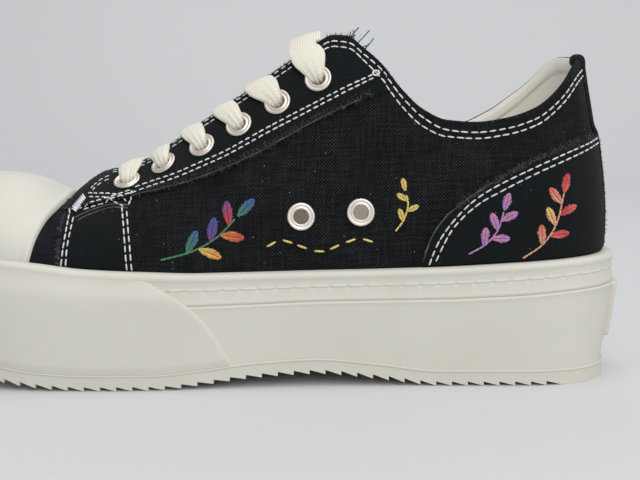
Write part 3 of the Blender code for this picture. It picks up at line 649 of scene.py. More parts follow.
class Draft:
    """Points, faces, cloth coordinates and tints gathered for one mesh."""

    def __init__(self) -> None:
        """Starts empty."""
        self.points: list[Array] = []
        self.faces: list[list[int]] = []
        self.cloth: list[Array] = []
        self.tint: list[Array] = []
        self.size = 0

    def add(self, points: Array, faces: Sequence[Array], cloth: Array = (0, 0),
            tint: Array = (1, 1, 1)) -> None:
        """Adds points and the faces between them.

        Args:
            points: Points of any shape + (3,).
            faces: Arrays of corner numbers, one row a face.
            cloth: Cloth coordinates, broadcast to the points.
            tint: Colours, broadcast to the points.
        """
        shape = points.shape[:-1]
        for batch in faces:
            self.faces.extend((batch + self.size).tolist())
        self.points.append(points.reshape(-1, 3))
        self.cloth.append(np.broadcast_to(cloth, shape + (2,)).reshape(-1, 2))
        self.tint.append(np.broadcast_to(tint, shape + (3,)).reshape(-1, 3))
        self.size += len(self.points[-1])

    def grid(self, points: Array, cloth: Array = (0, 0), tint: Array = (1, 1, 1), wrap: bool = False,
             drop: Optional[Array] = None) -> None:
        """Adds a grid of quads that faces outwards for columns (around) by rows (up).

        Args:
            points: Points, (columns, rows, 3).
            cloth: Cloth coordinates.
            tint: Colours.
            wrap: Joins the last column to the first.
            drop: Marks quads that are left out.
        """
        index = np.arange(points.shape[0] * points.shape[1]).reshape(points.shape[:2])
        if wrap:
            index = np.concatenate([index, index[:1]])
        quads = np.stack([index[:-1, :-1], index[:-1, 1:], index[1:, 1:], index[1:, :-1]], axis=-1)
        kept = quads.reshape(-1, 4) if drop is None else quads[~drop]
        self.add(points, [kept], cloth, tint)

    def caps(self, ring: Array) -> None:
        """Closes a ring of points that runs heel, medial side, toe, lateral side.

        Args:
            ring: The points, (count, 3).
        """
        count = len(ring)
        k = np.arange(count // 2 - 1)
        rungs = np.stack([k, k + 1, count - 2 - k, count - 1 - k], axis=-1)
        self.add(ring, [rungs])

    def tubes(self, paths: Array, ups: Array, wide: Array, high: Array, sides: int, tint: Array) -> None:
        """Adds closed tubes along many paths.

        Args:
            paths: Middle lines, (tubes, steps, 3).
            ups: Outward directions of the same shape.
            wide: Half-widths, broadcast to (tubes, steps).
            high: Half-heights, likewise.
            sides: Sides of a tube.
            tint: Colours, broadcast to (tubes, steps, sides, 3).
        """
        count, steps = paths.shape[:2]
        along = unit(np.gradient(paths, axis=1))
        across = unit(np.cross(along, ups))
        up = np.cross(across, along)
        angle = np.linspace(0, FULL_TURN, sides, endpoint=False)
        wide = np.broadcast_to(wide, (count, steps))[..., None] * np.cos(angle)
        high = np.broadcast_to(high, (count, steps))[..., None] * np.sin(angle)
        points = paths[:, :, None] + across[:, :, None] * wide[..., None] + up[:, :, None] * high[..., None]
        index = np.arange(count * steps * sides).reshape(count, steps, sides)
        turn = np.roll(index, -1, axis=2)
        quads = np.stack([index[:, :-1], turn[:, :-1], turn[:, 1:], index[:, 1:]], axis=-1).reshape(-1, 4)
        ends = [index[:, 0, ::-1], index[:, -1]]
        length = np.linalg.norm(np.diff(paths, axis=1), axis=2)
        length = np.concatenate([np.zeros((count, 1)), np.cumsum(length, axis=1)], axis=1)
        cloth = paired(length[..., None], np.arange(sides) / sides)
        self.add(points, [quads, *ends], cloth, tint)

    def make(self, name: str, material: Material, weld: bool = False, sharp: float = 180.0,
             outward: bool = False) -> bpy.types.Object:
        """Makes the object.

        Args:
            name: Its name.
            material: Its finish.
            weld: Joins points that fall together.
            sharp: Angle in degrees above which an edge stays sharp.
            outward: Turns the faces of closed bodies outwards.

        Returns:
            The object, in the scene.
        """
        mesh = bpy.data.meshes.new(name)
        mesh.from_pydata((np.concatenate(self.points) * MM).tolist(), [], self.faces)
        corner = np.zeros(len(mesh.loops), np.int32)
        mesh.loops.foreach_get("vertex_index", corner)
        cloth_map = mesh.uv_layers.new(name=CLOTH_MAP)
        cloth_map.data.foreach_set("uv", np.concatenate(self.cloth)[corner].astype(np.float32).ravel())
        colours = np.concatenate(self.tint)
        rgba = np.concatenate([colours, np.ones((len(colours), 1))], axis=1).astype(np.float32)
        mesh.attributes.new(TINT, "FLOAT_COLOR", "POINT").data.foreach_set("color", rgba.ravel())
        work = bmesh.new()
        work.from_mesh(mesh)
        if weld:
            bmesh.ops.remove_doubles(work, verts=work.verts[:], dist=0.002 * MM)
            bmesh.ops.dissolve_degenerate(work, edges=work.edges[:], dist=0.001 * MM)
        loose = [vert for vert in work.verts if not vert.link_faces]
        bmesh.ops.delete(work, geom=loose, context="VERTS")
        if outward:
            bmesh.ops.recalc_face_normals(work, faces=work.faces[:])
        work.to_mesh(mesh)
        work.free()
        mesh.shade_smooth()
        if sharp < 180:
            mesh.set_sharp_from_angle(angle=math.radians(sharp))
        mesh.materials.append(material)
        thing = bpy.data.objects.new(name, mesh)
        bpy.context.scene.collection.objects.link(thing)
        return thing


def place(thing: bpy.types.Object, slot: Slot, *nodes: str) -> None:
    """Fixes a piece to the shoe and reports it.

    Args:
        thing: The piece.
        slot: The record's finish; not used.
        nodes: Solids that it stands for.
    """
    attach(thing, BODY)
    if nodes:
        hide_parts(*nodes)
    log.info("%s: %d faces, for %s", thing.name, len(thing.data.polygons), ", ".join(nodes) or "itself")


def sheet(name: str, finish: Material, slot: Slot, node: Optional[str], points: Array, cloth: Array = (0, 0),
          tint: Array = (1, 1, 1), wrap: bool = False, drop: Optional[Array] = None,
          ends: Sequence[Array] = (), weld: bool = True, **edges: Union[bool, float]) -> None:
    """Makes and places a piece that is one grid of points.

    Args:
        name: Name of the piece.
        finish: Its material.
        slot: The record's finish.
        node: Solid that it stands for, if any.
        points: The grid, (columns, rows, 3).
        cloth: Cloth coordinates.
        tint: Colours.
        wrap: Joins the last column to the first.
        drop: Marks quads that are left out.
        ends: Rings of points to close.
        weld: Joins points that fall together.
        edges: What else Draft.make takes.
    """
    draft = Draft()
    draft.grid(points, cloth, tint, wrap, drop)
    for ring in ends:
        draft.caps(ring)
    place(draft.make(name, finish, weld, **edges), slot, *([node] if node else []))


def layer(point_of: Callable[[Array, Array, Array], Array], a: Array, b: Array, near: float, far: float,
          soft: float) -> tuple[Array, Array, Array]:
    """Grid of a layer with rounded edges that come down to what carries it.

    Args:
        point_of: Point from two places and a height.
        a: First places, (columns, rows).
        b: Second places.
        near: Height of the edge's foot.
        far: Height of the face.
        soft: How much of the edge is rounded.

    Returns:
        Points, and the places padded to the same grid.
    """
    a = np.pad(a, 2, mode="edge")
    b = np.pad(b, 2, mode="edge")
    i, j = (np.minimum(np.arange(count), np.arange(count)[::-1]) for count in a.shape)
    ring = np.minimum(i[:, None], j[None])
    height = np.select([ring == 0, ring == 1, ring == 2], [near, far - soft, far - 0.3 * soft], far)
    return point_of(a, b, height), a, b


class Hole(NamedTuple):
    """Place of an eyelet: middle on the cloth, axis, and two directions across it."""

    centre: Array
    axis: Array
    along: Array
    across: Array
    w: float
    v: float


def hole_at(form: Form, spot: Spot, side: Side) -> Hole:
    """Place of the eyelet at a side-view spot.

    Args:
        form: The shoe's form.
        spot: Where it is seen from the side.
        side: Side of the shoe.

    Returns:
        The hole.
    """
    w, v = form.at(np.array(spot.x), np.array(spot.z), side)
    axis = form.normal(w, v)
    along = unit(np.array([1.0, 0.0, 0.0]) - axis * axis[0])
    return Hole(form.point(w, v), axis, along, np.cross(axis, along), float(w), float(v))


def in_holes(points: Array, holes: Sequence[Hole], radius: float, wrap: bool = False) -> Array:
    """Marks the quads of a grid that lie in holes.

    Args:
        points: The grid, (columns, rows, 3).
        holes: The holes.
        radius: Radius that is left open.
        wrap: The grid closes around.

    Returns:
        A mark for each quad.
    """
    if wrap:
        points = np.concatenate([points, points[:1]])
    middle = (points[:-1, :-1] + points[1:, :-1] + points[:-1, 1:] + points[1:, 1:]) / 4
    inside = np.zeros(middle.shape[:-1], bool)
    for hole in holes:
        away = middle - hole.centre
        deep = away @ hole.axis
        aside = np.linalg.norm(away - deep[..., None] * hole.axis, axis=-1)
        inside |= (aside < radius) & (np.abs(deep) < 8)
    return inside


def smooth_step(at: Array, start: float, stop: float) -> Array:
    """Rise from 0 to 1 between two values."""
    t = np.clip((at - start) / (stop - start), 0, 1)
    return t * t * (3 - 2 * t)


def drawn(line: Sequence[Spot], step: float = 0.25) -> Array:
    """Smooth side-view line through spots.

    Args:
        line: The spots, in order.
        step: Distance between the points.

    Returns:
        Points (count, 2).
    """
    spots = np.array(line, float)
    chord = arc(spots)
    at = np.linspace(0, chord[-1], max(3, int(chord[-1] / step)))
    return np.stack([Curve(chord, spots[:, 0])(at), Curve(chord, spots[:, 1])(at)], axis=-1)


@dataclass
class CanvasUpper:
    """Canvas shell with its lining, and the patches that are sewn onto it."""

    form: Form
    canvas: Material
    twill: Material
    lining: Material
    holes: dict[Side, list[Hole]]
    vents: list[Hole]
    columns: int = 600
    rows: int = 64
    rim: float = 1.0
    fold: int = 7
    seat: float = 0.5
    layer: float = 1.1
    panel: float = 0.45
    hole: float = 3.3
    foot: float = 0.012
    facing_front: float = 0.252
    facing_rear: float = 0.636
    counter_front: float = 0.7
    counter_top: float = 92.0
    panel_top: float = 0.6
    strip_half: float = 0.026
    strip: float = 0.8
    strip_knob: float = 0.25
    tongue_front: float = 0.296
    tongue_rear: float = 0.57
    tongue: float = 1.8
    tongue_drop: float = 1.6
    tongue_gap: float = 0.7
    tongue_run: float = 280.0
    tongue_ease: int = 4
    vamp_tint: Colour = (0.95, 1.0, 1.2)
    hem: float = 0.55
    hem_wide: float = 4.6
    hem_soft: float = 0.8
    hem_shade: float = 0.35
    ripple: float = 0.25
    ripple_full: float = 14.0
    rim_start: float = 0.012
    soft: float = 0.45
    panel_soft: float = 0.3
    heel_part: float = 0.6

    def __post_init__(self) -> None:
        """Works out where the facings and the counter end."""
        self.spots = np.linspace(0, 1, 401)
        on_facing = np.clip(self.spots, self.facing_front, self.facing_rear)
        on_counter = np.maximum(self.spots, self.counter_front)
        under = self.form.under
        self.facing_low = {side: under(side.value * on_facing, FACING_EDGE) for side in Side}
        self.counter_high = {side: under(side.value * on_counter, COUNTER_EDGE) for side in Side}
        self.counter_edge = curves(COUNTER_EDGE, "z")["x"]
        self.panel_edges = [curves(edge, "z")["x"] for edge in (PANEL_FRONT, PANEL_REAR)]
        self.every_hole = [hole for side in Side for hole in self.holes[side]] + self.vents
        self.thick = self.seat + self.layer

    def face(self, w: Array, v: Array) -> Array:
        """Height of the topmost cloth over the shell.

        Args:
            w: Places around.
            v: Levels.

        Returns:
            Heights.
        """
        w, v = np.broadcast_arrays(w, v)
        u = np.abs(w)
        point = self.form.point(w, v)
        x = point[..., 0]
        z = point[..., 2]
        on_panel = (x > self.panel_edges[0](z)) & (x < self.panel_edges[1](z)) & (v < self.panel_top)
        height = np.where(on_panel, self.panel, 0.0)
        for side in Side:
            here = w * side.value > 0
            low = np.interp(u, self.spots, self.facing_low[side])
            facing = (u > self.facing_front) & (u < self.facing_rear) & (v > low)
            high = np.interp(u, self.spots, self.counter_high[side])
            high = np.where(u > self.counter_front, high, 1.0)
            counter = (u > self.heel_part) & (x > self.counter_edge(z)) & (v < high) & (z < self.counter_top)
            height = np.where(here & (facing | counter), self.thick, height)
        return height

    def rim_frame(self, w: Array, v: Array) -> tuple[Array, Array]:
        """Outward and upward directions at the top edge."""
        upward = unit(self.form.point(w, v) - self.form.point(w, v - 0.02))
        return self.form.normal(w, v), upward

    def shell(self) -> None:
        """Outer face with its folded top edge, and the lining inside it."""
        form = self.form
        v = np.concatenate([[-1.0, -0.5], np.linspace(0, 1, self.rows)])
        w, v = np.meshgrid(form.even(self.columns + 1)[:-1], v, indexing="ij")
        face = form.out(w, v, 0.0)
        flat = form.cloth(w, v)
        square, upward = self.rim_frame(w[:, -1], v[:, -1])
        share = np.clip((np.abs(w[:, -1]) - form.throat) / self.rim_start, 0, 1)[:, None]
        turns = np.linspace(0, math.pi, 11)[1:]
        roll = np.stack([face[:, -1] + share * self.rim * (square * (math.cos(a) - 1) + upward * math.sin(a))
                         for a in turns], axis=1)
        over = flat[:, -1:] + np.stack([np.zeros(10), turns * self.rim], axis=-1)
        face = np.concatenate([face, roll[:, :self.fold]], axis=1)
        front = (self.panel_edges[0](face[..., 2]) > face[..., 0])[..., None]
        cloth = np.concatenate([flat, over[:, :self.fold]], axis=1)
        sheet("canvas_upper", self.canvas, Slot.CANVAS, "upper", face, cloth,
              np.where(front, self.vamp_tint, 1.0), wrap=True,
              drop=in_holes(face, self.every_hole, self.hole, True))
        below = np.interp(w[:, :1], form.stops, form.spoke) - flat[..., 1]
        hem = self.hem_wide
        margin = smooth_step(below, 0.0, self.hem_soft) - smooth_step(below, hem, hem + self.hem_soft)
        margin = self.hem * margin
        ripple = self.ripple * np.sin(flat[..., 0] * 0.31 + below * 0.2)
        ripple = ripple * smooth_step(below, hem, self.ripple_full)
        inner = form.point(w, v) - form.normal(w, v) * (form.wall + margin + ripple)[..., None]
        inner = np.concatenate([roll[:, self.fold - 1:-1], inner[:, ::-1]], axis=1)
        # Tint darker and slightly warmer along the narrow line where the hem's fold steps down: painted shade
        # in the fold.
        shade = 1 - self.hem_shade * np.exp(-((below - hem - 0.7) / 0.5) ** 2)
        shade = np.concatenate([np.ones((len(w), len(turns) - self.fold)), shade[:, ::-1]], axis=1)[..., None]
        sheet("upper_lining", self.lining, Slot.INSOLE, "upper", inner,
              np.concatenate([over[:, self.fold - 1:-1], flat[:, ::-1]], axis=1),
              np.concatenate([shade, shade ** 1.1, shade ** 1.3], axis=-1),
              wrap=True, drop=in_holes(inner, self.every_hole, self.hole, True))

    def side_panels(self) -> None:
        """Thin vamp panels at the ball of the foot, sewn along both edges."""
        level = np.linspace(self.foot, self.panel_top, 34)
        for side in Side:
            front = self.form.behind(level, PANEL_FRONT, side, 0.2, 0.34)
            rear = self.form.behind(level, PANEL_REAR, side, 0.2, 0.40)
            u = front[None] + (rear - front)[None] * np.linspace(0, 1, 34)[:, None]
            v = np.broadcast_to(level, u.shape)
            name = "vamp_panel_" + side.name.lower()
            self.patch(name, None, side.value * u, v, self.panel, self.panel_soft, side)

    def patch(self, name: str, node: Optional[str], w: Array, v: Array, far: float, soft: float,
              side: Optional[Side] = None) -> None:
        """Cloth layer over a grid of places.

        Args:
            name: Name of the piece.
            node: Solid that it stands for, if any.
            w: Places around, (columns, rows).
            v: Levels.
            far: Height of its face.
            soft: Rounding of its edges.
            side: Side it lies on, or none where it wraps the heel.
        """
        if side is Side.MEDIAL:
            w = w[::-1]
            v = v[::-1]
        points, w, v = layer(self.form.out, w, v, 0.0, far, soft)
        cloth = self.form.cloth(w, v)
        if side is None:
            cloth[..., 0] += np.where(w < 0, np.ptp(self.form.girth), 0.0)
        drop = in_holes(points, self.holes[side] if side else [], self.hole)
        sheet(name, self.twill, Slot.CANVAS, node, points, cloth, drop=drop)

    def facings(self) -> None:
        """Facings along the throat, which carry the eyelets."""
        u = np.linspace(self.facing_front, self.facing_rear, 130)
        for side in Side:
            low = self.form.under(side.value * u, FACING_EDGE)
            high = np.where(u < self.form.throat + 0.002, 0.998, 0.995)
            v = low[:, None] + (high - low)[:, None] * np.linspace(0, 1, 44)[None]
            w = np.broadcast_to(side.value * u[:, None], v.shape)
            name = side.name.lower()
            self.patch("canvas_facing_" + name, "eyestay_" + name, w, v, self.thick, self.soft, side)

    def counter(self) -> None:
        """Heel counter, wrapped around the back."""
        form = self.form
        first = np.array([0.03])
        start = {side: form.behind(first, COUNTER_EDGE, side, 0.6, 0.75)[0] for side in Side}
        w = wrapped(-np.linspace(2 - start[Side.LATERAL], start[Side.MEDIAL], 200))
        high = form.under(w, COUNTER_EDGE)
        v = self.foot + (high - self.foot)[:, None] * np.linspace(0, 1, 44)[None]
        w = np.broadcast_to(w[:, None], v.shape)
        self.patch("canvas_counter", "heel_counter", w, v, self.thick, self.soft)

    def back_strip(self) -> None:
        """Strip up the back seam, folded over the collar."""
        form = self.form
        edge = float(form.under(np.array([1.0]), COUNTER_EDGE)[0])
        w = wrapped(np.linspace(1 + self.strip_half, 1 - self.strip_half, 15))[::-1]
        share = 1 - np.linspace(-1, 1, 15) ** 6
        v = np.concatenate([np.linspace(self.foot, edge, 20), np.linspace(edge + 0.01, 1.0, 24)])
        w, v = np.meshgrid(w, v, indexing="ij")
        fall = smooth_step(v, edge - 0.01, edge + 0.06)
        full = (self.thick + self.strip) * (1 - fall) + (self.seat + self.strip) * fall
        under = full - self.strip
        full = full + self.strip_knob * smooth_step(v, 0.95, 0.985)
        height = under - 0.3 + (full - under + 0.3) * share[:, None]
        cloth = form.cloth(w, v)
        top = form.point(w[:, -1], v[:, -1])
        square, upward = self.rim_frame(w[:, -1], v[:, -1])
        radius = (self.rim + height[:, -1])[:, None]
        roll = [top - square * self.rim + radius * (square * math.cos(a) + upward * math.sin(a))
                for a in np.linspace(0, math.pi, 9)[1:]]
        ends = ((0.8, 0.0), (1.6, 0.25), (2.2, 0.9), (2.3, 1.3))
        down = [roll[-1] - upward * low + square * back * (radius - self.rim) for low, back in ends]
        face = np.concatenate([form.out(w, v, height), np.stack(roll + down, axis=1)], axis=1)
        over = cloth[:, -1:] + np.stack([np.zeros(12), np.linspace(0.6, 9, 12)], axis=-1)
        sheet("canvas_back_strip", self.canvas, Slot.CANVAS, "heel_strip", face,
              np.concatenate([cloth, over], axis=1), weld=False)

    def tongue_sheet(self) -> None:
        """Tongue under the throat, from facing to facing."""
        form = self.form
        u = np.linspace(self.tongue_front, self.tongue_rear, 70)
        marks = np.array([0.86, 0.93, 1.0])
        deep = form.wall + self.tongue_gap
        across = np.linspace(0, 6, 37)
        sheets = []
        for depth in (deep, deep + self.tongue):
            run = {}
            for side in Side:
                run[side] = form.point(side.value * u[:, None], marks[None])
                run[side] -= form.normal(side.value * u[:, None], marks[None]) * depth
                run[side][..., 2] -= self.tongue_drop * np.array([0.0, 0.5, 1.0])
            middle = (run[Side.MEDIAL][:, 2] + run[Side.LATERAL][:, 2]) / 2
            stops = np.concatenate([run[Side.MEDIAL], middle[:, None], run[Side.LATERAL][:, ::-1]], axis=1)
            fine = [eased(along_line(row, np.arange(7), across), self.tongue_ease) for row in stops]
            sheets.append(np.stack(fine))
        ring = np.concatenate([sheets[0], sheets[1][:, ::-1], sheets[0][:, :1]], axis=1)
        cloth = paired(u[:, None] * self.tongue_run, np.arange(ring.shape[1])[None] * 1.0)
        sheet("canvas_tongue", self.canvas, Slot.CANVAS, "tongue", ring, cloth,
              ends=(ring[0, :-1], ring[-1, :-1]), sharp=60, outward=True)

    def build(self) -> None:
        """Builds every cloth piece."""
        self.shell()
        self.side_panels()
        self.facings()
        self.counter()
        self.back_strip()
        self.tongue_sheet()


@dataclass
class RubberSole:
    """Platform, foxing, toe cap, bumper, heel plate and outsole."""

    form: Form
    rubber: Material
    tread: Material
    columns: int = 1500
    dash: float = 6.5
    dash_break: float = 0.5
    dash_high: float = 0.34
    dash_at: float = 0.495
    dent_at: float = 0.455
    dash_wide: float = 0.03
    cap: float = 2.3
    cap_lip: float = 0.22
    cap_lip_wide: float = 1.1
    cap_round: float = 1.5
    cap_full: float = 15.0
    seat: float = 0.5
    bumper: float = 1.0
    bumper_top: float = 1.84
    bead_crest: float = 0.4
    band_in: float = 0.85
    bevel: float = 0.0042
    plate: float = 1.4
    plate_half: float = 0.054
    plate_span: tuple[float, float] = (0.30, 0.985)
    tooth_first: float = -124.0
    tooth_pitch: float = 5.75
    tooth_count: int = 40
    tooth_deep: float = 1.55
    tooth_reach: float = 13.0
    tread_lip: float = 0.6
    tread_section: tuple[tuple[float, float], ...] = (
        (0.0, 2.2), (0.0, 4.75), (-0.28, 5.0), (-0.4, 5.25), (-0.3, 5.55), (0.02, 5.74), (0.5, 5.8))

    def around(self) -> Array:
        """Places around the sole, one a millimetre or less."""
        return self.form.even(self.columns + 1)[:-1]

    def platform(self) -> None:
        """Leaning wall with a rounded ledge."""
        form = self.form
        w = self.around()[:, None]
        share = np.array([-0.014, 0.1, 0.25, 0.4, 0.55, 0.7, 0.82, 0.9])
        foot = form.inset_of["foot"](np.abs(w))
        wall = form.plan_in(*np.broadcast_arrays(w, foot * (1 - share)))
        low = form.outsole_top(wall[..., 0]) + form.gap
        wall[..., 2] = low + (form.side_of["ledge"](wall[..., 0]) - low) * share
        down = np.array([1.3, 1.0, 0.7, 0.42, 0.2, 0.04, -0.2, -0.5, -0.5])
        inset = np.array([0.02, -0.14, -0.16, -0.04, 0.18, 0.5, 0.78, 0.95, 3.0])
        lip = form.plan_in(*np.broadcast_arrays(w, inset))
        lip[..., 2] = form.side_of["ledge"](lip[..., 0]) + 0.1 - down
        point = np.concatenate([wall, lip], axis=1)
        sheet("platform_wall", self.rubber, Slot.RUBBER, "midsole", point, wrap=True,
              ends=(point[:, 0], point[::-1, -1]), sharp=50)

    def foxing(self) -> None:
        """Band with a moulded line of dashes and a rounded bead."""
        form = self.form
        w = self.around()
        length = arc(form.plan_in(w, np.full_like(w, self.band_in)))
        phase = (length / self.dash) % 1.0
        rise = [0.42, 0.435, 0.45, 0.465, 0.48, 0.495, 0.51, 0.525, 0.545, 0.58]
        rise = np.array(sorted(rise + [row.rise for row in BAND]))[None]
        section = curves(BAND, "rise")["inset"](rise)
        away = np.minimum(phase, 1 - phase) * self.dash
        dash = smooth_step(away, self.dash_break, self.dash_break + 0.4)[:, None]
        ridge, dent = (np.exp(-((rise - at) / self.dash_wide) ** 2) for at in (self.dash_at, self.dent_at))
        inset = section - self.dash_high * (ridge * dash - dent * (0.9 - 0.75 * dash))
        inner = form.inset_of["upper"](np.abs(w))[:, None] - 0.1
        inset = np.concatenate([inner, inset, inner], axis=1)
        rise = np.concatenate([[[0.0]], rise, [[1.0]]], axis=1)
        point = form.plan_in(*np.broadcast_arrays(w[:, None], inset))
        ledge = form.side_of["ledge"](point[..., 0]) + 0.05
        point[..., 2] = ledge + (form.side_of["top"](point[..., 0]) - ledge) * rise
        sheet("rubber_foxing", self.rubber, Slot.RUBBER, "foxing_band", point, wrap=True)

    def toe_cap(self) -> None:
        """Bulbous cap with a soft lip along its rear edge."""
        form = self.form
        level = np.concatenate([[0.0, 0.012], np.linspace(0.03, 1, 60)])
        share = np.sin(np.linspace(-1, 1, 181) * math.pi / 2)
        share = 0.35 * np.linspace(-1, 1, 181) + 0.65 * share
        rear = {side: form.behind(level, CAP_EDGE, side, 0.19, 0.28) for side in Side}
        w = np.where(share[:, None] < 0, rear[Side.MEDIAL], rear[Side.LATERAL]) * share[:, None]
        v = np.broadcast_to(level, w.shape)
        stops = np.stack([form.point(side.value * rear[side], level) for side in (Side.MEDIAL, Side.LATERAL)])
        point = form.point(w, v)
        edge = np.where((share < 0)[:, None, None], stops[0][None], stops[1][None])
        away = np.linalg.norm(point - edge, axis=-1)
        rounding = np.sqrt(np.clip(1 - (1 - np.clip(away / self.cap_round, 0, 1)) ** 2, 0, 1))
        lip = self.cap_lip * np.exp(-((away - self.cap_round) / self.cap_lip_wide) ** 2)
        full = self.cap * (0.42 + 0.58 * smooth_step(away, 1.0, self.cap_full))
        height = -0.1 + (self.seat + full + 0.1) * rounding + lip
        face = point + form.normal(w, v) * height[..., None]
        sheet("rubber_toe_cap", self.rubber, Slot.RUBBER, "toe_cap", face)

    def toe_bumper(self) -> None:
        """Rubber wrap over the front of platform and foxing."""
        form = self.form
        level = np.concatenate([np.linspace(-0.014, 1, 24), np.linspace(1.03, self.bumper_top, 16)])
        line = curves(BUMPER_EDGE, "z")["x"]
        first = np.full_like(level, 0.1)
        last = np.full_like(level, 0.6)
        rear = {side: bisect(first, last, lambda u: past(form.wall_point(side.value * u, level), line))
                for side in Side}
        share = np.concatenate([[-1.0, -1.0, -1.0], np.linspace(-1, 1, 221), [1.0, 1.0, 1.0]])[:, None]
        slope = np.array([-self.bevel, -0.6 * self.bevel, -0.25 * self.bevel])
        beyond = np.concatenate([slope, np.zeros(221), -slope[::-1]])[:, None]
        lift = np.concatenate([[0.0, 0.55, 0.88], np.ones(221), [0.88, 0.55, 0.0]])[:, None]
        w = np.where(share < 0, rear[Side.MEDIAL], rear[Side.LATERAL]) * share + beyond
        full = (form.gap + self.bumper) * (0.5 + 0.5 * smooth_step(level, -0.014, 0.1))
        full = full - (full + self.bead_crest) * smooth_step(level, 1.2, self.bumper_top)
        foot = -0.03 - self.band_in * smooth_step(level, 1.0, 1.05)
        height = foot + (full - foot) * lift
        points = form.wall_point(w, np.broadcast_to(level, w.shape), height)
        sheet("rubber_bumper", self.rubber, Slot.RUBBER, "toe_bumper", points)

    def heel_plate(self) -> None:
        """Bare plate on the back of the platform."""
        w = np.linspace(1 - self.plate_half, 1 + self.plate_half, 44)
        level = np.linspace(*self.plate_span, 24)
        w, level = np.meshgrid(wrapped(w), level, indexing="ij")
        points, _, _ = layer(self.form.wall_point, w, level, -0.2, self.form.gap + self.plate, 0.6)
        sheet("rubber_heel_plate", self.rubber, Slot.RUBBER, "heel_plate", points)

    def tread_line(self, side: Side) -> tuple[Array, Array]:
        """Places along one side of the tread, heel first, and how far the saw-teeth lift its edge.

        Args:
            side: Side of the shoe.

        Returns:
            Places around and lifts.
        """
        form = self.form
        marks = self.tooth_first + self.tooth_pitch * np.arange(self.tooth_count + 1)
        x = np.repeat(marks[::-1], 2)[1:-1]
        middle = (x[::2] + x[1::2]) / 2
        x = np.stack([x[::2], middle, x[1::2]], axis=-1).ravel()
        lift = np.tile([0.0, self.tooth_deep / 2, self.tooth_deep], self.tooth_count)
        u = bisect(np.zeros_like(x), np.ones_like(x),
                   lambda u: form.plan_in(side.value * u, self.tread_inset(u))[..., 0] - x)
        heel = np.linspace(1, u[0], 40)[:-1]
        toe = np.linspace(u[-1], 0, 40)[1:]
        lift = np.concatenate([np.zeros(39), lift, np.full(39, self.tooth_deep)])
        return side.value * np.concatenate([heel, u, toe]), lift

    def tread_inset(self, u: Array) -> Array:
        """How far the tread's outline stands in from the plan."""
        return self.form.inset_of["foot"](np.abs(u)) - self.tread_lip

    def outsole(self) -> None:
        """Tread layer with saw-teeth along its edge and a flat middle."""
        form = self.form
        inner_w, inner_lift = self.tread_line(Side.MEDIAL)
        outer_w, outer_lift = self.tread_line(Side.LATERAL)
        w = np.concatenate([inner_w, outer_w[-2::-1]])
        lift = np.concatenate([inner_lift, outer_lift[-2::-1]])
        rim = form.plan_in(w, self.tread_inset(w))
        base = form.side_of["tread"](rim[:, 0])
        inside = rim.copy()
        inside[:, 1] -= np.sign(rim[:, 1]) * np.minimum(self.tooth_reach, np.abs(rim[:, 1]) * 0.6)
        inside[:, 2] = base
        rings = [inside]
        for inset, height in ((0.0, lift), *self.tread_section):
            ring = form.plan_in(w, self.tread_inset(w) + inset)
            ring[:, 2] = base + height
            rings.append(ring)
        points = np.stack(rings, axis=1)
        sheet("rubber_outsole", self.tread, Slot.RUBBER, "outsole", points,
              ends=(points[:, 0], points[::-1, -1]), sharp=32, outward=True)

    def build(self) -> None:
        """Builds every rubber piece."""
        self.platform()
        self.foxing()
        self.toe_cap()
        self.toe_bumper()
        self.heel_plate()
        self.outsole()


RING_BACK = ((2.72, -0.75), (3.4, -0.85), (4.1, -0.6), (4.5, -0.2), (4.4, 0.3), (3.0, 0.3))
RING_FACE = ((3.0, -0.2), (4.75, -0.05), (5.0, 0.12), (5.06, 0.42), (4.93, 0.74), (4.64, 0.96), (4.28, 0.98),
             (3.98, 0.8), (3.82, 0.56), (3.64, 0.6), (3.44, 0.86), (3.16, 1.0), (2.9, 0.9), (2.74, 0.62),
             (2.68, 0.2))


@dataclass
class EyeletRings:
    """Rolled metal eyelets with a groove between two beads, and a flange inside."""

    metal: Material
    holes: dict[Side, list[Hole]]
    vents: list[Hole]
    vent_metal: Material
    sides: int = 56
    wall: float = 2.1
    facing: float = 1.6
    canvas: float = 0.05

    def ring(self, name: str, hole: Hole, seat: float, metal: Material, node: str) -> None:
        """One eyelet.

        Args:
            name: Name of the piece.
            hole: Where it sits.
            seat: Height of the cloth's face there.
            metal: Its finish.
            node: Solid that it stands for.
        """
        back = seat + self.wall
        flange = [(radius, rise - back) for radius, rise in RING_BACK]
        section = np.array([*flange, *RING_FACE, (2.7, -back / 2)])
        angle = np.linspace(0, FULL_TURN, self.sides, endpoint=False)
        out = hole.along * np.cos(angle)[:, None] + hole.across * np.sin(angle)[:, None]
        points = hole.centre + out[:, None] * section[None, :, :1] + hole.axis * (seat + section[None, :, 1:])
        points = np.concatenate([points, points[:, :1]], axis=1)
        sheet(name, metal, Slot.EYELET, node, points, wrap=True, sharp=70, outward=True)

    def build(self) -> None:
        """Builds the lace eyelets and the vents."""
        for side in Side:
            for row, hole in enumerate(self.holes[side]):
                label = "%s_%d" % (side.name.lower(), row + 1)
                self.ring("eyelet_ring_" + label, hole, self.facing, self.metal, "eyelet_" + label)
        for row, hole in enumerate(self.vents):
            self.ring("vent_ring_%d" % (row + 1), hole, self.canvas, self.vent_metal, "vent_%d" % (row + 1))


class BarRow(NamedTuple):
    """How one lace bar lies: lean to the toe, arch over the throat, roll, bunching and width."""

    lean: float
    arch: float
    roll: float
    pinch: float
    width: float


BARS = rows(
    BarRow, (-0.5, 0.2, -4, 0.6, 8.8), (2.1, 0, -11, 0.58, 8.6), (4.7, 0, -14, 0.58, 9),
    (6.2, 0, -14, 0.58, 9.4), (7.3, 0.4, -15, 0.46, 11.6), (4.6, 5.2, -17, 0.44, 12.6),
)


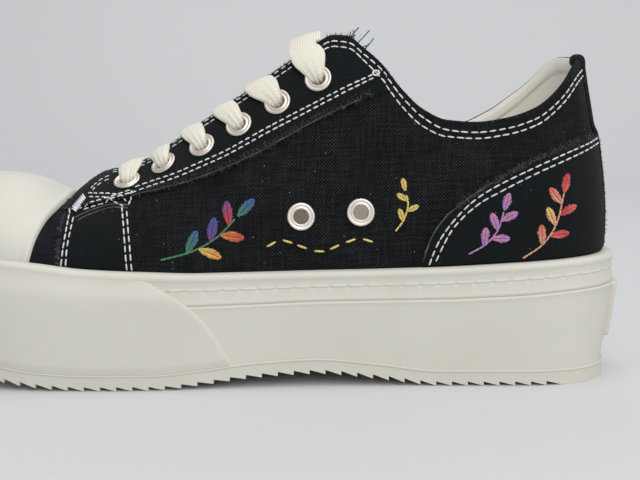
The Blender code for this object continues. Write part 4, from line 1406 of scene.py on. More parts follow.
@dataclass
class Lacing:
    """Flat cotton lace from eyelet to eyelet across the throat."""

    form: Form
    cotton: Material
    holes: dict[Side, list[Hole]]
    thick: float = 1.3
    steps: int = 110
    sides: int = 32
    lift: float = 3.3
    settled: float = 2.6
    spread: tuple[float, float] = (2.5, 14.0)
    path_ease: int = 10
    twist_ease: int = 60
    edge: float = 0.992

    def half_path(self, row: int, side: Side) -> tuple[Array, Array]:
        """Middle line and outward directions from the hole to the throat edge.

        Args:
            row: Row of the lace, from the toe.
            side: Side of the shoe.

        Returns:
            Points and directions.
        """
        form = self.form
        hole = self.holes[side][row]
        leave = EYELETS[row].x - BARS[row].lean
        edge = side.value * bisect(np.array(form.throat + 0.004), np.array(0.6),
                                   lambda u: form.point(side.value * u, self.edge)[..., 0] - leave)
        inside = [hole.centre + hole.axis * height for height in (-1.6, 0.6, 2.2)]
        share = np.array([0.3, 0.5, 0.7, 0.88, 1.0])
        level = hole.v + (self.edge - hole.v) * share
        w = hole.w + (edge - hole.w) * share
        square = form.normal(w, level)
        lift = self.lift - (self.lift - self.settled) * smooth_step(share, 0.4, 1.0)
        over = form.point(w, level) + square * lift[:, None]
        points = np.concatenate([np.stack(inside), over])
        upward = unit(over[1] - hole.centre)
        first = np.stack([hole.axis * 0.15 - upward, hole.axis * 0.4 - upward, hole.axis - upward * 0.5])
        return points, np.concatenate([unit(first), square])

    def ribbon(self, row: int) -> tuple[Array, Array, Array, Array]:
        """Middle line of a bar and its directions, with its roll.

        Args:
            row: Row of the lace, from the toe.

        Returns:
            Lengths along the line, its points, and the directions across and up.
        """
        left, left_up = self.half_path(row, Side.MEDIAL)
        right, right_up = self.half_path(row, Side.LATERAL)
        top = (left[-1] + right[-1]) / 2 + UP * BARS[row].arch
        top_up = unit(left_up[-1] + right_up[-1])
        points = np.concatenate([left, top[None], right[::-1]])
        ups = np.concatenate([left_up, top_up[None], right_up[::-1]])
        length = arc(points)
        at = np.linspace(0, length[-1], self.steps)
        path, up = (np.stack([Curve(length, line[:, k])(at) for k in range(3)], axis=-1)
                    for line in (points, ups))
        path = eased(path, self.path_ease)
        along = unit(np.gradient(path, axis=0))
        across = unit(eased(unit(np.cross(along, unit(up))), self.twist_ease))
        up = unit(np.cross(across, along))
        roll = math.radians(BARS[row].roll) * np.sin(np.linspace(0, math.pi, self.steps))[:, None]
        turned = across * np.cos(roll) + up * np.sin(roll)
        return at, path, turned, up * np.cos(roll) - across * np.sin(roll)

    def bar(self, row: int) -> None:
        """One bar of lace, bunched near its eyelets.

        Args:
            row: Row of the lace, from the toe.
        """
        bar = BARS[row]
        at, path, across, up = self.ribbon(row)
        spread = smooth_step(np.minimum(at, at[-1] - at), *self.spread)
        half = bar.width / 2 * (bar.pinch + (1 - bar.pinch) * spread)
        thick = self.thick / 2 * (1.7 - 0.7 * spread)
        cup = 0.7 * (1 - spread) + 0.5
        angle = np.linspace(0, FULL_TURN, self.sides, endpoint=False)
        aside = np.cos(angle)
        high = np.sign(np.sin(angle)) * np.abs(np.sin(angle)) ** 0.55
        pleats = 0.08 + 0.5 * (1 - spread)[:, None]
        ridge = 1 + pleats * np.cos(aside * 3.4 * math.pi + 0.6 * row)[None]
        lower = -cup[:, None] * aside[None] ** 2
        body = path[:, None] + across[:, None] * (half[:, None] * aside[None])[..., None]
        body = body + up[:, None] * (thick[:, None] * high * ridge + lower)[..., None]
        cloth = paired(at[:, None], bar.width / 2 * aside[None])
        body = np.concatenate([body, body[:, :1]], axis=1)
        cloth = np.concatenate([cloth, cloth[:, :1]], axis=1)
        name = "lace_bar_%d" % (row + 1)
        sheet("cotton_" + name, self.cotton, Slot.LACE, name, body, cloth,
              ends=(body[0, :-1], body[-1, :-1]), outward=True)

    def build(self) -> None:
        """Builds every bar."""
        for row in range(len(EYELETS)):
            self.bar(row)


def linear(colour: Colour) -> Colour:
    """Scene-linear value of a display colour given from 0 to 255."""
    parts = [part / 255 for part in colour]
    return tuple(part / 12.92 if part <= 0.04045 else ((part + 0.055) / 1.055) ** 2.4 for part in parts)


class Graph:
    """Short ways to add and join nodes in one tree."""

    def __init__(self, tree: bpy.types.NodeTree) -> None:
        """Keeps the tree."""
        self.tree = tree

    def add(self, kind: str, **settings: object) -> Node:
        """Adds a node.

        Args:
            kind: Blender's name for it.
            settings: Properties to set.

        Returns:
            The node.
        """
        node = self.tree.nodes.new(kind)
        for name, value in settings.items():
            setattr(node, name, value)
        return node

    def feed(self, target: Socket, value: Value) -> None:
        """Sets a socket, or joins another to it.

        Args:
            target: The socket.
            value: A number, a colour or another socket.
        """
        if isinstance(value, bpy.types.NodeSocket):
            self.tree.links.new(value, target)
        elif isinstance(value, tuple) and target.type == "RGBA":
            target.default_value = (*value, 1.0)
        else:
            target.default_value = value

    def fill(self, node: Node, values: dict[str, Value]) -> None:
        """Feeds a node's inputs by name."""
        for name, value in values.items():
            self.feed(node.inputs[name], value)

    def math(self, operation: str, *values: Value) -> Socket:
        """Result of a sum of one to three values.

        Args:
            operation: Kind of sum.
            values: What goes into it.

        Returns:
            The result.
        """
        node = self.add("ShaderNodeMath", operation=operation)
        for target, value in zip(node.inputs, values):
            self.feed(target, value)
        return node.outputs[0]

    def mix(self, share: Value, a: Value, b: Value, blend: str = "MIX") -> Socket:
        """Colour between two colours.

        Args:
            share: 0 for the first, 1 for the second.
            a: First colour.
            b: Second colour.
            blend: How the second goes onto the first.

        Returns:
            The mixed colour.
        """
        node = self.add("ShaderNodeMix", data_type="RGBA", blend_type=blend)
        for number, value in ((0, share), (6, a), (7, b)):
            self.feed(node.inputs[number], value)
        return node.outputs[2]

    def step(self, value: Value, low: float, high: float, start: float = 0.0, stop: float = 1.0) -> Socket:
        """Soft step of a value.

        Args:
            value: The value.
            low: Where the step begins.
            high: Where it ends.
            start: Result below it.
            stop: Result above it.

        Returns:
            The result.
        """
        node = self.add("ShaderNodeMapRange", interpolation_type="SMOOTHSTEP")
        self.fill(node, {"Value": value, "From Min": low, "From Max": high, "To Min": start, "To Max": stop})
        return node.outputs["Result"]

    def noise(self, vector: Socket, scale: Value, detail: float = 2.0) -> Socket:
        """Smooth noise from 0 to 1.

        Args:
            vector: Where it is looked up.
            scale: How fine it is.
            detail: How many layers it has.

        Returns:
            The noise.
        """
        node = self.add("ShaderNodeTexNoise")
        self.fill(node, {"Vector": vector, "Scale": scale, "Detail": detail})
        return node.outputs[0]

    def bump(self, height: Socket, depth: float, below: Optional[Socket] = None) -> Socket:
        """Normal of a bumped face.

        Args:
            height: Height from 0 to 1.
            depth: Its depth in millimetres.
            below: Normal of a bump under it.

        Returns:
            The normal.
        """
        node = self.add("ShaderNodeBump")
        self.fill(node, {"Distance": depth * MM, "Height": height})
        if below:
            self.feed(node.inputs["Normal"], below)
        return node.outputs[0]

    def tint(self) -> Socket:
        """Colour that the mesh carries."""
        return self.add("ShaderNodeAttribute", attribute_name=TINT).outputs["Color"]

    def group(self, effect: "Effect", **values: Value) -> Outputs:
        """Adds a shared effect.

        Args:
            effect: The effect.
            values: Its inputs by name, with _ for a space.

        Returns:
            Its outputs.
        """
        node = self.add("ShaderNodeGroup", node_tree=effect.tree())
        self.fill(node, {name.replace("_", " "): value for name, value in values.items()})
        return node.outputs


@dataclass(frozen=True)
class Effect:
    """Node group shared by finishes: name, inputs with their defaults, outputs and how it is made."""

    name: str
    inputs: dict[str, float]
    outputs: tuple[str, ...]
    wire: Callable[[Graph, Outputs], Sequence[Socket]]

    def tree(self) -> bpy.types.NodeTree:
        """The group, made on first use.

        Returns:
            Its node tree.
        """
        found = bpy.data.node_groups.get(self.name)
        if found:
            return found
        tree = bpy.data.node_groups.new(self.name, "ShaderNodeTree")
        for name, value in self.inputs.items():
            made = tree.interface.new_socket(name=name, in_out="INPUT", socket_type="NodeSocketFloat")
            made.default_value = value
        for name in self.outputs:
            tree.interface.new_socket(name=name, in_out="OUTPUT", socket_type="NodeSocketFloat")
        graph = Graph(tree)
        start = graph.add("NodeGroupInput")
        end = graph.add("NodeGroupOutput")
        graph.fill(end, dict(zip(self.outputs, self.wire(graph, start.outputs))))
        return tree


def cloth_axes(graph: Graph) -> tuple[Socket, Socket, Socket]:
    """Cloth coordinates in millimetres: the vector and its two parts.

    Args:
        graph: Tree that uses them.

    Returns:
        The vector, and its lengths around and up.
    """
    vector = graph.add("ShaderNodeUVMap", uv_map=CLOTH_MAP).outputs[0]
    split = graph.add("ShaderNodeSeparateXYZ")
    graph.feed(split.inputs[0], vector)
    return vector, split.outputs[0], split.outputs[1]


def per_metre(graph: Graph, size: Socket) -> Socket:
    """Scale of a texture whose parts are a size in millimetres."""
    return graph.math("DIVIDE", 1 / MM, size)


def wire_weave(graph: Graph, given: Outputs) -> Sequence[Socket]:
    """Plain weave: bumps where threads pass over, and uneven threads.

    Args:
        graph: The group's tree.
        given: Its inputs.

    Returns:
        Height and thread shade.
    """
    vector, u, v = cloth_axes(graph)
    turn = graph.math("DIVIDE", math.pi, given["Pitch"])
    sway = graph.math("MULTIPLY", graph.noise(vector, 0.35), 1.3)
    waves = [graph.math("SINE", graph.math("MULTIPLY", graph.math("ADD", axis, sway), turn))
             for axis in (u, v)]
    over = graph.math("MULTIPLY_ADD", graph.math("MULTIPLY", *waves), 0.5, 0.5)
    shades = []
    for stretch in ((0.10, 1.1, 1.0), (1.1, 0.10, 1.0)):
        squeeze = graph.add("ShaderNodeVectorMath", operation="MULTIPLY")
        graph.feed(squeeze.inputs[0], vector)
        graph.feed(squeeze.inputs[1], stretch)
        shades.append(graph.noise(squeeze.outputs[0], 1.0, 1.0))
    shade = graph.math("MULTIPLY", graph.math("ADD", *shades), 0.5)
    return graph.math("MULTIPLY", over, graph.math("ADD", shade, 0.45)), shade


def wire_mottle(graph: Graph, given: Outputs) -> Sequence[Socket]:
    """Broad clouds and fine grain fixed to the object.

    Args:
        graph: The group's tree.
        given: Its inputs.

    Returns:
        Clouds and grain.
    """
    at = graph.add("ShaderNodeTexCoord").outputs["Object"]
    broad = graph.noise(at, per_metre(graph, given["Cloud Size"]), 3.0)
    return broad, graph.noise(at, per_metre(graph, given["Grain Size"]), 2.0)


def wire_specks(graph: Graph, given: Outputs) -> Sequence[Socket]:
    """Scattered small spots.

    Args:
        graph: The group's tree.
        given: Its inputs.

    Returns:
        A mask, 1 in a spot.
    """
    at = graph.add("ShaderNodeTexCoord").outputs["Object"]
    cells = graph.add("ShaderNodeTexVoronoi")
    graph.fill(cells, {"Vector": at, "Scale": per_metre(graph, given["Spacing"])})
    split = graph.add("ShaderNodeSeparateColor")
    graph.feed(split.inputs[0], cells.outputs["Color"])
    near = graph.math("LESS_THAN", cells.outputs["Distance"], given["Size"])
    chosen = graph.math("LESS_THAN", split.outputs[0], given["Share"])
    return (graph.math("MULTIPLY", near, chosen),)


def wire_ply(graph: Graph, given: Outputs) -> Sequence[Socket]:
    """Twist of a sewing thread.

    Args:
        graph: The group's tree.
        given: Its inputs.

    Returns:
        Height of the plies.
    """
    _, u, v = cloth_axes(graph)
    turn = graph.math("ADD", graph.math("DIVIDE", u, given["Pitch"]), graph.math("MULTIPLY", v, 2.0))
    wave = graph.math("SINE", graph.math("MULTIPLY", turn, FULL_TURN))
    return (graph.math("ADD", graph.math("MULTIPLY", wave, 0.5), 0.5),)


WEAVE = Effect("woven_cloth", {"Pitch": 0.85}, ("Height", "Shade"), wire_weave)
MOTTLE = Effect("soft_mottle", {"Cloud Size": 30.0, "Grain Size": 0.6}, ("Clouds", "Grain"), wire_mottle)
SPECKS = Effect("small_specks", {"Spacing": 5.0, "Size": 0.05, "Share": 0.4}, ("Mask",), wire_specks)
PLY = Effect("twisted_ply", {"Pitch": 0.8}, ("Height",), wire_ply)


@dataclass(frozen=True)
class Finish:
    """Even matt colour, and what every finish has."""

    name: str
    colour: Colour
    roughness: float = 0.7

    def wire(self, graph: Graph, shader: Node) -> None:
        """Sets the inputs of the shader in a material's tree."""
        graph.fill(shader, {"Base Color": linear(self.colour), "Roughness": self.roughness})

    def make(self) -> Material:
        """Builds the material.

        Returns:
            The material.
        """
        made = bpy.data.materials.new(self.name)
        made.use_nodes = True
        self.wire(Graph(made.node_tree), made.node_tree.nodes["Principled BSDF"])
        return made


@dataclass(frozen=True)
class ClothFinish(Finish):
    """Woven cotton with uneven threads, a little lint, and a painted highlight on the thread crowns."""

    roughness: float = 0.88
    worn: Colour = (0, 0, 0)
    lint: Colour = (0, 0, 0)
    pitch: float = 0.85
    depth: float = 0.22
    sheen: float = 0.03
    lint_share: float = 0.35
    tinted: bool = False

    def wire(self, graph: Graph, shader: Node) -> None:
        """Weave with crowns paler as a painted highlight, uneven in random clouds, and specks of lint.

        Args:
            graph: The material's tree.
            shader: Its surface shader.
        """
        weave = graph.group(WEAVE, Pitch=self.pitch)
        mottle = graph.group(MOTTLE, Cloud_Size=22.0, Grain_Size=0.8)
        lint = graph.group(SPECKS, Spacing=3.2, Size=0.055, Share=self.lint_share)
        # The paler worn on the raised thread crowns is a painted highlight, uneven with thread tone and
        # random clouds.
        crown = graph.step(weave["Height"], 0.25, 0.95)
        painted_highlight = graph.math("MULTIPLY", crown, graph.step(weave["Shade"], 0.36, 0.66, 0.6, 1.0))
        painted_highlight = graph.math("MULTIPLY", painted_highlight, graph.step(mottle["Clouds"], 0.3, 0.75, 0.6, 1.0))
        base = graph.mix(painted_highlight, linear(self.colour), linear(self.worn))
        base = graph.mix(lint["Mask"], base, linear(self.lint))
        if self.tinted:
            base = graph.mix(1.0, base, graph.tint(), "MULTIPLY")
        normal = graph.bump(mottle["Grain"], 0.05, graph.bump(weave["Height"], self.depth))
        graph.fill(shader, {"Base Color": base, "Normal": normal, "Roughness": self.roughness,
                            "Sheen Weight": self.sheen, "Sheen Roughness": 0.6, "Specular IOR Level": 0.08})


@dataclass(frozen=True)
class RubberFinish(Finish):
    """Matt rubber with faint clouds, fine grain and a few dark specks."""

    roughness: float = 0.48
    soiled: Colour = (0, 0, 0)
    dirt: Colour = (92, 88, 80)
    grain: float = 0.035
    speck_share: float = 0.12

    def wire(self, graph: Graph, shader: Node) -> None:
        """Clouds of soil and gloss, grain, and specks.

        Args:
            graph: The material's tree.
            shader: Its surface shader.
        """
        mottle = graph.group(MOTTLE, Cloud_Size=26.0, Grain_Size=0.5)
        specks = graph.group(SPECKS, Spacing=9.0, Size=0.028, Share=self.speck_share)
        soil = graph.step(mottle["Clouds"], 0.4, 0.8, 0.0, 0.3)
        base = graph.mix(soil, linear(self.colour), linear(self.soiled))
        base = graph.mix(specks["Mask"], base, linear(self.dirt))
        rough = graph.step(mottle["Clouds"], 0.3, 0.7, self.roughness, self.roughness + 0.1)
        normal = graph.bump(mottle["Grain"], self.grain)
        graph.fill(shader, {"Base Color": base, "Normal": normal, "Roughness": rough,
                            "Specular IOR Level": 0.4, "Subsurface Weight": 0.06,
                            "Subsurface Radius": (0.003, 0.002, 0.001)})


@dataclass(frozen=True)
class MetalFinish(Finish):
    """Plated metal with a slightly uneven polish."""

    def wire(self, graph: Graph, shader: Node) -> None:
        """Clouds of polish and a faint grain.

        Args:
            graph: The material's tree.
            shader: Its surface shader.
        """
        mottle = graph.group(MOTTLE, Cloud_Size=3.0, Grain_Size=0.3)
        rough = graph.step(mottle["Clouds"], 0.3, 0.7, self.roughness, self.roughness + 0.12)
        graph.fill(shader, {"Base Color": linear(self.colour), "Metallic": 1.0, "Roughness": rough,
                            "Normal": graph.bump(mottle["Grain"], 0.008)})


@dataclass(frozen=True)
class LaceFinish(Finish):
    """Flat cotton braid with lengthwise ribs."""

    roughness: float = 0.85
    shade: Colour = (0, 0, 0)
    rib: float = 1.0
    knit: float = 0.95
    depth: float = 0.10

    def wire(self, graph: Graph, shader: Node) -> None:
        """Ribs crossed by slanting knit, over a weave, with painted shade in the troughs between ribs.

        Args:
            graph: The material's tree.
            shader: Its surface shader.
        """
        _, along, across = cloth_axes(graph)
        weave = graph.group(WEAVE, Pitch=0.7)
        wave = graph.math("COSINE", graph.math("MULTIPLY", across, FULL_TURN / self.rib))
        slant = graph.math("MULTIPLY", along, FULL_TURN / self.knit)
        slant = graph.math("ADD", slant, graph.math("MULTIPLY", wave, 1.6))
        knit = graph.math("MULTIPLY", graph.math("SINE", slant), 0.55)
        ribs = graph.math("MULTIPLY_ADD", graph.math("ADD", wave, knit), 0.4, 0.5)
        # The darker shade colour goes into the troughs between ribs: painted shade.
        base = graph.mix(graph.step(ribs, 0.1, 0.7), linear(self.shade), linear(self.colour))
        normal = graph.bump(weave["Height"], 0.08, graph.bump(ribs, self.depth))
        graph.fill(shader, {"Base Color": base, "Normal": normal, "Roughness": self.roughness,
                            "Sheen Weight": 0.2, "Specular IOR Level": 0.3})


@dataclass(frozen=True)
class ThreadFinish(Finish):
    """Twisted thread in the colours that the mesh carries, with painted shade between its plies."""

    colour: Colour = (0, 0, 0)
    roughness: float = 0.6
    sheen: float = 0.2
    pitch: float = 0.8

    def wire(self, graph: Graph, shader: Node) -> None:
        """Plies in the mesh's own tint, with painted shade in the grooves between them.

        Args:
            graph: The material's tree.
            shader: Its surface shader.
        """
        ply = graph.group(PLY, Pitch=self.pitch)
        tint = graph.tint()
        # Tint darkened towards black in the grooves between plies: painted shade.
        ply_groove_shade = graph.mix(0.45, tint, linear(self.colour))
        base = graph.mix(graph.step(ply["Height"], 0.0, 0.5), ply_groove_shade, tint)
        graph.fill(shader, {"Base Color": base, "Normal": graph.bump(ply["Height"], 0.08),
                            "Roughness": self.roughness, "Sheen Weight": self.sheen})


@dataclass
class Studio:
    """Pale floor that curves up behind the shoe, soft light, and the camera."""

    lens: float = 73.125
    camera_at: tuple[float, float, float] = (0.01777, -0.5, 0.1061)
    pitch: float = 83.5
    floor_colour: Colour = (209, 210, 212)
    sky: float = 0.555

    def floor(self) -> None:
        """Floor and backdrop in one sweep."""
        profile = [(-3.0, 0.0), (0.9, 0.0)]
        turns = np.linspace(0, math.pi / 2, 12)[1:]
        profile += [(0.9 + 0.6 * math.sin(a), 0.6 - 0.6 * math.cos(a)) for a in turns]
        profile.append((1.5, 3.0))
        line = np.array(profile) / MM
        points = np.stack([np.stack([np.full(len(line), x / MM), line[:, 0], line[:, 1] - 0.05], axis=-1)
                           for x in (-4.0, 4.0)])
        draft = Draft()
        draft.grid(points[::-1])
        draft.make("studio_floor", Finish("pale_floor", self.floor_colour).make())

    def lamp(self, name: str, at: tuple[float, float, float], size: float, power: float,
             aim: tuple[float, float, float] = (0.0, 0.0, 0.05)) -> None:
        """Square soft light.

        Args:
            name: Its name.
            at: Where it hangs, in metres.
            size: Edge length.
            power: Watts.
            aim: Where it points.
        """
        data = bpy.data.lights.new(name, "AREA")
        data.size = size
        data.energy = power
        lamp = bpy.data.objects.new(name, data)
        lamp.location = at
        away = np.array(aim) - np.array(at)
        lamp.rotation_euler = (math.atan2(math.hypot(away[0], away[1]), -away[2]), 0,
                               math.atan2(-away[0], away[1]))
        bpy.context.scene.collection.objects.link(lamp)

    def lights(self) -> None:
        """Large light overhead, a fill in front, one for the backdrop, and an even sky."""
        self.lamp("overhead", (0.3, -0.15, 1.45), 1.5, 9.3)
        self.lamp("front_fill", (0.45, -1.3, 0.85), 1.1, 9.5)
        self.lamp("backdrop", (0.0, 1.0, 1.2), 0.9, 2.0, (0.0, 1.2, 0.0))
        world = bpy.data.worlds.new("studio")
        world.use_nodes = True
        back = world.node_tree.nodes["Background"]
        back.inputs["Color"].default_value = (0.99, 0.99, 1.0, 1.0)
        back.inputs["Strength"].default_value = self.sky
        bpy.context.scene.world = world

    def camera(self) -> None:
        """Camera at the photograph's angle and framing."""
        data = bpy.data.cameras.new("camera")
        data.lens = self.lens
        data.sensor_width = 36.0
        data.clip_start = 0.01
        camera = bpy.data.objects.new("camera", data)
        camera.location = self.camera_at
        camera.rotation_euler = (math.radians(self.pitch), 0.0, 0.0)
        bpy.context.scene.collection.objects.link(camera)
        bpy.context.scene.camera = camera

    def build(self) -> None:
        """Sets up floor, light, camera and colour."""
        self.floor()
        self.lights()
        self.camera()
        bpy.context.scene.view_settings.view_transform = "Standard"


class RowKind(Enum):
    """Kinds of stitching, as (pitch, dash, radius)."""

    LOCK = (3.4, 2.8, 0.31)
    FACING = (2.8, 2.1, 0.33)
    FINE = (2.9, 2.2, 0.27)


SEAMS = (
    rows(Spot, (-73, 63.1), (-73.1, 57.5), (-73.6, 51.2), (-74.4, 43.8)),
    rows(Spot, (-71.1, 62), (-71.5, 57.5), (-72.2, 51.2), (-72.7, 43.8)),
    rows(Spot, (-54, 64.8), (-52.7, 58.6), (-51.7, 51.2), (-50.9, 42.6)),
    rows(Spot, (-52.2, 64.4), (-51, 57.7), (-49.9, 50.1), (-49.2, 42.4)),
    rows(Spot, (57, 43.4), (60, 51.1), (63.8, 57.2), (71.7, 65.8), (78.8, 70.8), (91.9, 77.3),
         (107.8, 84.1), (117.5, 87.6)),
    rows(Spot, (58.9, 43.4), (61.8, 50.1), (65.8, 57.2), (74.8, 65.8), (81.8, 69.8), (97.1, 77.3),
         (117.5, 85.7)),
)
FACING_SEAMS = (
    rows(Spot, (-67.7, 67.6), (-60.5, 67.9), (-54.4, 67.4), (-52.4, 66.2)),
    rows(Spot, (-68, 66.4), (-61.2, 66.7), (-57.2, 66), (-53.2, 64.5)),
    rows(Spot, (-70.8, 63.3), (-66.1, 64.6), (-60.4, 66.3), (-54.9, 68), (-51.1, 69.3)),
    rows(Spot, (-69.6, 62.7), (-64.1, 64.5), (-59.4, 65.9), (-54.3, 67.4), (-51, 68.3)),
    rows(Spot, (-51.5, 65), (-51.1, 67), (-50.6, 69.2)),
    rows(Spot, (-51.2, 69.6), (-44.3, 72.1), (-34.8, 75.5), (-25.9, 79.5), (-17, 83.6), (-2.2, 91.9),
         (8, 97.4), (17.8, 102.5), (29, 108.2), (37.4, 112)),
    rows(Spot, (-51.1, 68.1), (-43.3, 70.9), (-33.9, 74.3), (-25, 78.2), (-16.2, 82.3), (-1.5, 90.5),
         (8.7, 95.9), (18.5, 101.1), (29.4, 106.8), (37.8, 110.9)),
)
THROAT_FRONT = (
    rows(Spot, (-66.8, 69), (-65.3, 70.7), (-63.1, 72.3), (-60.4, 73.6)),
    rows(Spot, (-66, 68.4), (-64.4, 70), (-62.3, 71.5), (-59.6, 72.7)),
)
BARTACK = rows(Spot, (-68.3, 66.6), (-69.4, 64.9), (-71.2, 62.4))
# Folds under the facing's front edge that carry a painted highlight.
PAINTED_HIGHLIGHT_FOLDS = (
    rows(Spot, (-70.5, 60.8), (-64.9, 63.2), (-56.7, 65.3), (-51.5, 65)),
    rows(Spot, (-69.6, 59.8), (-64.4, 62.2), (-56.5, 64.3), (-51.7, 64)),
)
KNOT = Spot(38.2, 112.2)
THREAD_WHITE = np.array(linear((240, 242, 244)))


@dataclass
class Threadwork:
    """Threads on the upper, gathered into one piece."""

    upper: CanvasUpper
    thread: Material
    seed: int = 0

    def __post_init__(self) -> None:
        """Starts the seeded draws and the mesh."""
        self.form = self.upper.form
        self.draw = np.random.default_rng(self.seed)
        self.draft = Draft()

    def places(self, line: Sequence[Spot], step: float, side: Side) -> tuple[Array, Array]:
        """Places on one side along a side-view line."""
        spots = drawn(line, step)
        return self.form.at(*spots.T, side)


@dataclass
class Sewing(Threadwork):
    """White lock-stitch rows on both sides of the shoe."""

    seed: int = 11
    collar_rows: tuple[float, float] = (3.1, 5.3)
    throat_rows: tuple[float, float] = (1.6, 3.9)
    throat_start: float = 0.305
    collar_start: float = 0.545
    collar_end: float = 0.974
    slope_spread: float = 0.6
    counter_rows: tuple[float, float] = (1.45, 3.35)
    late: float = 0.45
    bartack_half: float = 0.95
    lead: float = 0.12
    stray: float = 0.14
    uneven: tuple[float, float] = (0.92, 1.08)
    lean: float = 0.05
    shades: tuple[float, float] = (0.82, 1.0)

    def row(self, w: Array, v: Array, kind: RowKind, shift: float = 0.0) -> None:
        """Stitches along a line of places.

        Args:
            w: Places around.
            v: Levels.
            kind: Kind of stitching.
            shift: Share of a pitch by which the row starts later.
        """
        pitch, dash, radius = kind.value
        line = self.form.out(w, v, self.upper.face(w, v))
        length = arc(line)
        count = max(1, round(length[-1] / pitch - shift))
        pitch = length[-1] / (count + shift)
        start = (np.arange(count) + self.lead + shift) * pitch
        start = start + self.draw.uniform(-self.stray, self.stray, count)
        step = np.linspace(0, 1, 7)
        at = start[:, None] + step * dash * self.draw.uniform(*self.uneven, (count, 1))
        path = along_line(line, length, at)
        up = unit(along_line(self.form.normal(w, v), length, at))
        swell = np.sqrt(np.sin(step * math.pi))
        path = path + up * (radius * (0.95 * swell - 0.5))[None, :, None]
        lean = self.draw.normal(0, self.lean, (count, 1)) * (step - 0.5)
        path = path + np.cross(up, unit(np.gradient(path, axis=1))) * lean[..., None]
        wide = radius * (0.5 + 0.5 * swell)
        shade = self.draw.uniform(*self.shades, (count, 1, 1, 1))
        self.draft.tubes(path, up, wide, wide * 0.85, 6, THREAD_WHITE * shade)

    def drawn_row(self, line: Sequence[Spot], side: Side, kind: RowKind, shift: float) -> None:
        """Stitches along a side-view line."""
        self.row(*self.places(line, 0.8, side), kind, shift)

    def edge_row(self, side: Side, first: float, last: float, below: float, kind: RowKind) -> None:
        """Stitches at a distance below the top edge.

        Args:
            side: Side of the shoe.
            first: Place around where they start.
            last: Place where they end.
            below: Distance below the edge.
            kind: Kind of stitching.
        """
        u = np.linspace(first, last, 220)
        slope = smooth_step(u, 0.60, 0.64) * (1 - smooth_step(u, 0.66, 0.73))
        spread = self.slope_spread * slope * (below - np.mean(self.collar_rows))
        self.row(side.value * u, self.form.below_top(side.value * u, below + spread), kind)

    def counter_back(self, side: Side) -> None:
        """Carries the counter's rows on to the back strip.

        Args:
            side: Side of the shoe.
        """
        for row, drop in zip(SEAMS[-2:], self.counter_rows):
            last, _ = self.form.at(np.array([row[-1].x]), np.array([row[-1].z]), side)
            w = side.value * np.linspace(float(np.abs(last[0])), 1 - self.upper.strip_half, 40)
            lowered = tuple(Spot(spot.x, spot.z - drop) for spot in COUNTER_EDGE)
            self.row(w, self.form.under(w, lowered), RowKind.LOCK)

    def bartack(self, side: Side) -> None:
        """Dense zig-zag that closes the facing's front.

        Args:
            side: Side of the shoe.
        """
        spots = drawn(BARTACK, 0.3)
        swing = np.where(np.arange(len(spots)) % 2 == 0, -1.0, 1.0)[:, None]
        across = np.gradient(spots, axis=0)[:, ::-1] * np.array([-1.0, 1.0])
        spots = spots + swing * self.bartack_half * across / np.linalg.norm(across, axis=1, keepdims=True)
        w, v = self.form.at(*spots.T, side)
        points = self.form.out(w, v, np.maximum(self.upper.face(w, v), 1.2) + 0.2)
        up = self.form.normal(w, v)
        pairs = np.stack([points[:-1], (points[:-1] + points[1:]) / 2, points[1:]], axis=1)
        ups = np.stack([up[:-1], up[:-1], up[1:]], axis=1)
        self.draft.tubes(pairs, ups, 0.3, 0.26, 6, THREAD_WHITE)

    def knot(self, side: Side) -> None:
        """Loop of thread where the facing's rows meet the collar's.

        Args:
            side: Side of the shoe.
        """
        turn = np.linspace(0.3, FULL_TURN + 0.9, 22)
        w, v = self.form.at(KNOT.x + 1.1 * np.cos(turn), KNOT.z + 0.9 * np.sin(turn), side)
        path = self.form.out(w, v, self.upper.face(w, v) + 0.3 + 0.1 * turn)
        self.draft.tubes(path[None], self.form.normal(w, v)[None], 0.34, 0.3, 6, THREAD_WHITE)

    def build(self) -> None:
        """Sews every row and makes the piece."""
        for side in Side:
            for lines, kind in ((SEAMS, RowKind.LOCK), (FACING_SEAMS, RowKind.FACING)):
                for number, line in enumerate(lines):
                    self.drawn_row(line, side, kind, self.late * (number % 2))
            for line in THROAT_FRONT:
                self.drawn_row(line, side, RowKind.FINE, 0.0)
            for below in self.collar_rows:
                self.edge_row(side, self.collar_start, self.collar_end, below, RowKind.LOCK)
            for below in self.throat_rows:
                self.edge_row(side, self.throat_start, self.collar_start, below, RowKind.FINE)
            self.counter_back(side)
            self.bartack(side)
            self.knot(side)
        place(self.draft.make("sewn_rows", self.thread), Slot.LACE)


class FrayRow(NamedTuple):
    """Raw edge: line from the side, fibres per millimetre, length, layer's height, way out, fuzzy margin."""

    line: tuple[Spot, ...]
    density: float
    length: float
    height: float
    away: Spot
    margin: float


class FuzzRow(NamedTuple):
    """Stretch of the top edge, fibres per millimetre and their length."""

    first: float
    last: float
    density: float
    length: float


FRAYS = (
    FrayRow(FACING_EDGE[2:7] + (Spot(38.6, 105.6),), 8.0, 1.2, 1.5, Spot(0.4, -0.9), 2.6),
    FrayRow(FACING_EDGE[:3], 4.0, 1.0, 1.5, Spot(0.2, -1.0), 1.2),
    FrayRow(COUNTER_EDGE[4:9] + (Spot(118.0, 89.6),), 9.0, 1.5, 1.5, Spot(-0.5, 0.85), 1.6),
    FrayRow(COUNTER_EDGE[:5], 1.4, 0.8, 1.4, Spot(-1.0, 0.2), 0.5),
    FrayRow(PANEL_FRONT, 6.0, 1.3, 0.4, Spot(-1.0, 0.0), 0.8),
)
TOP_FUZZ = rows(FuzzRow, (0.256, 0.3, 14, 0.9), (0.3, 0.6, 2.6, 0.8), (0.6, 0.97, 0.5, 0.5))
LOOSE_TINTS = np.array([linear(colour) for colour in ((222, 226, 226), (74, 104, 112), (40, 46, 52))])


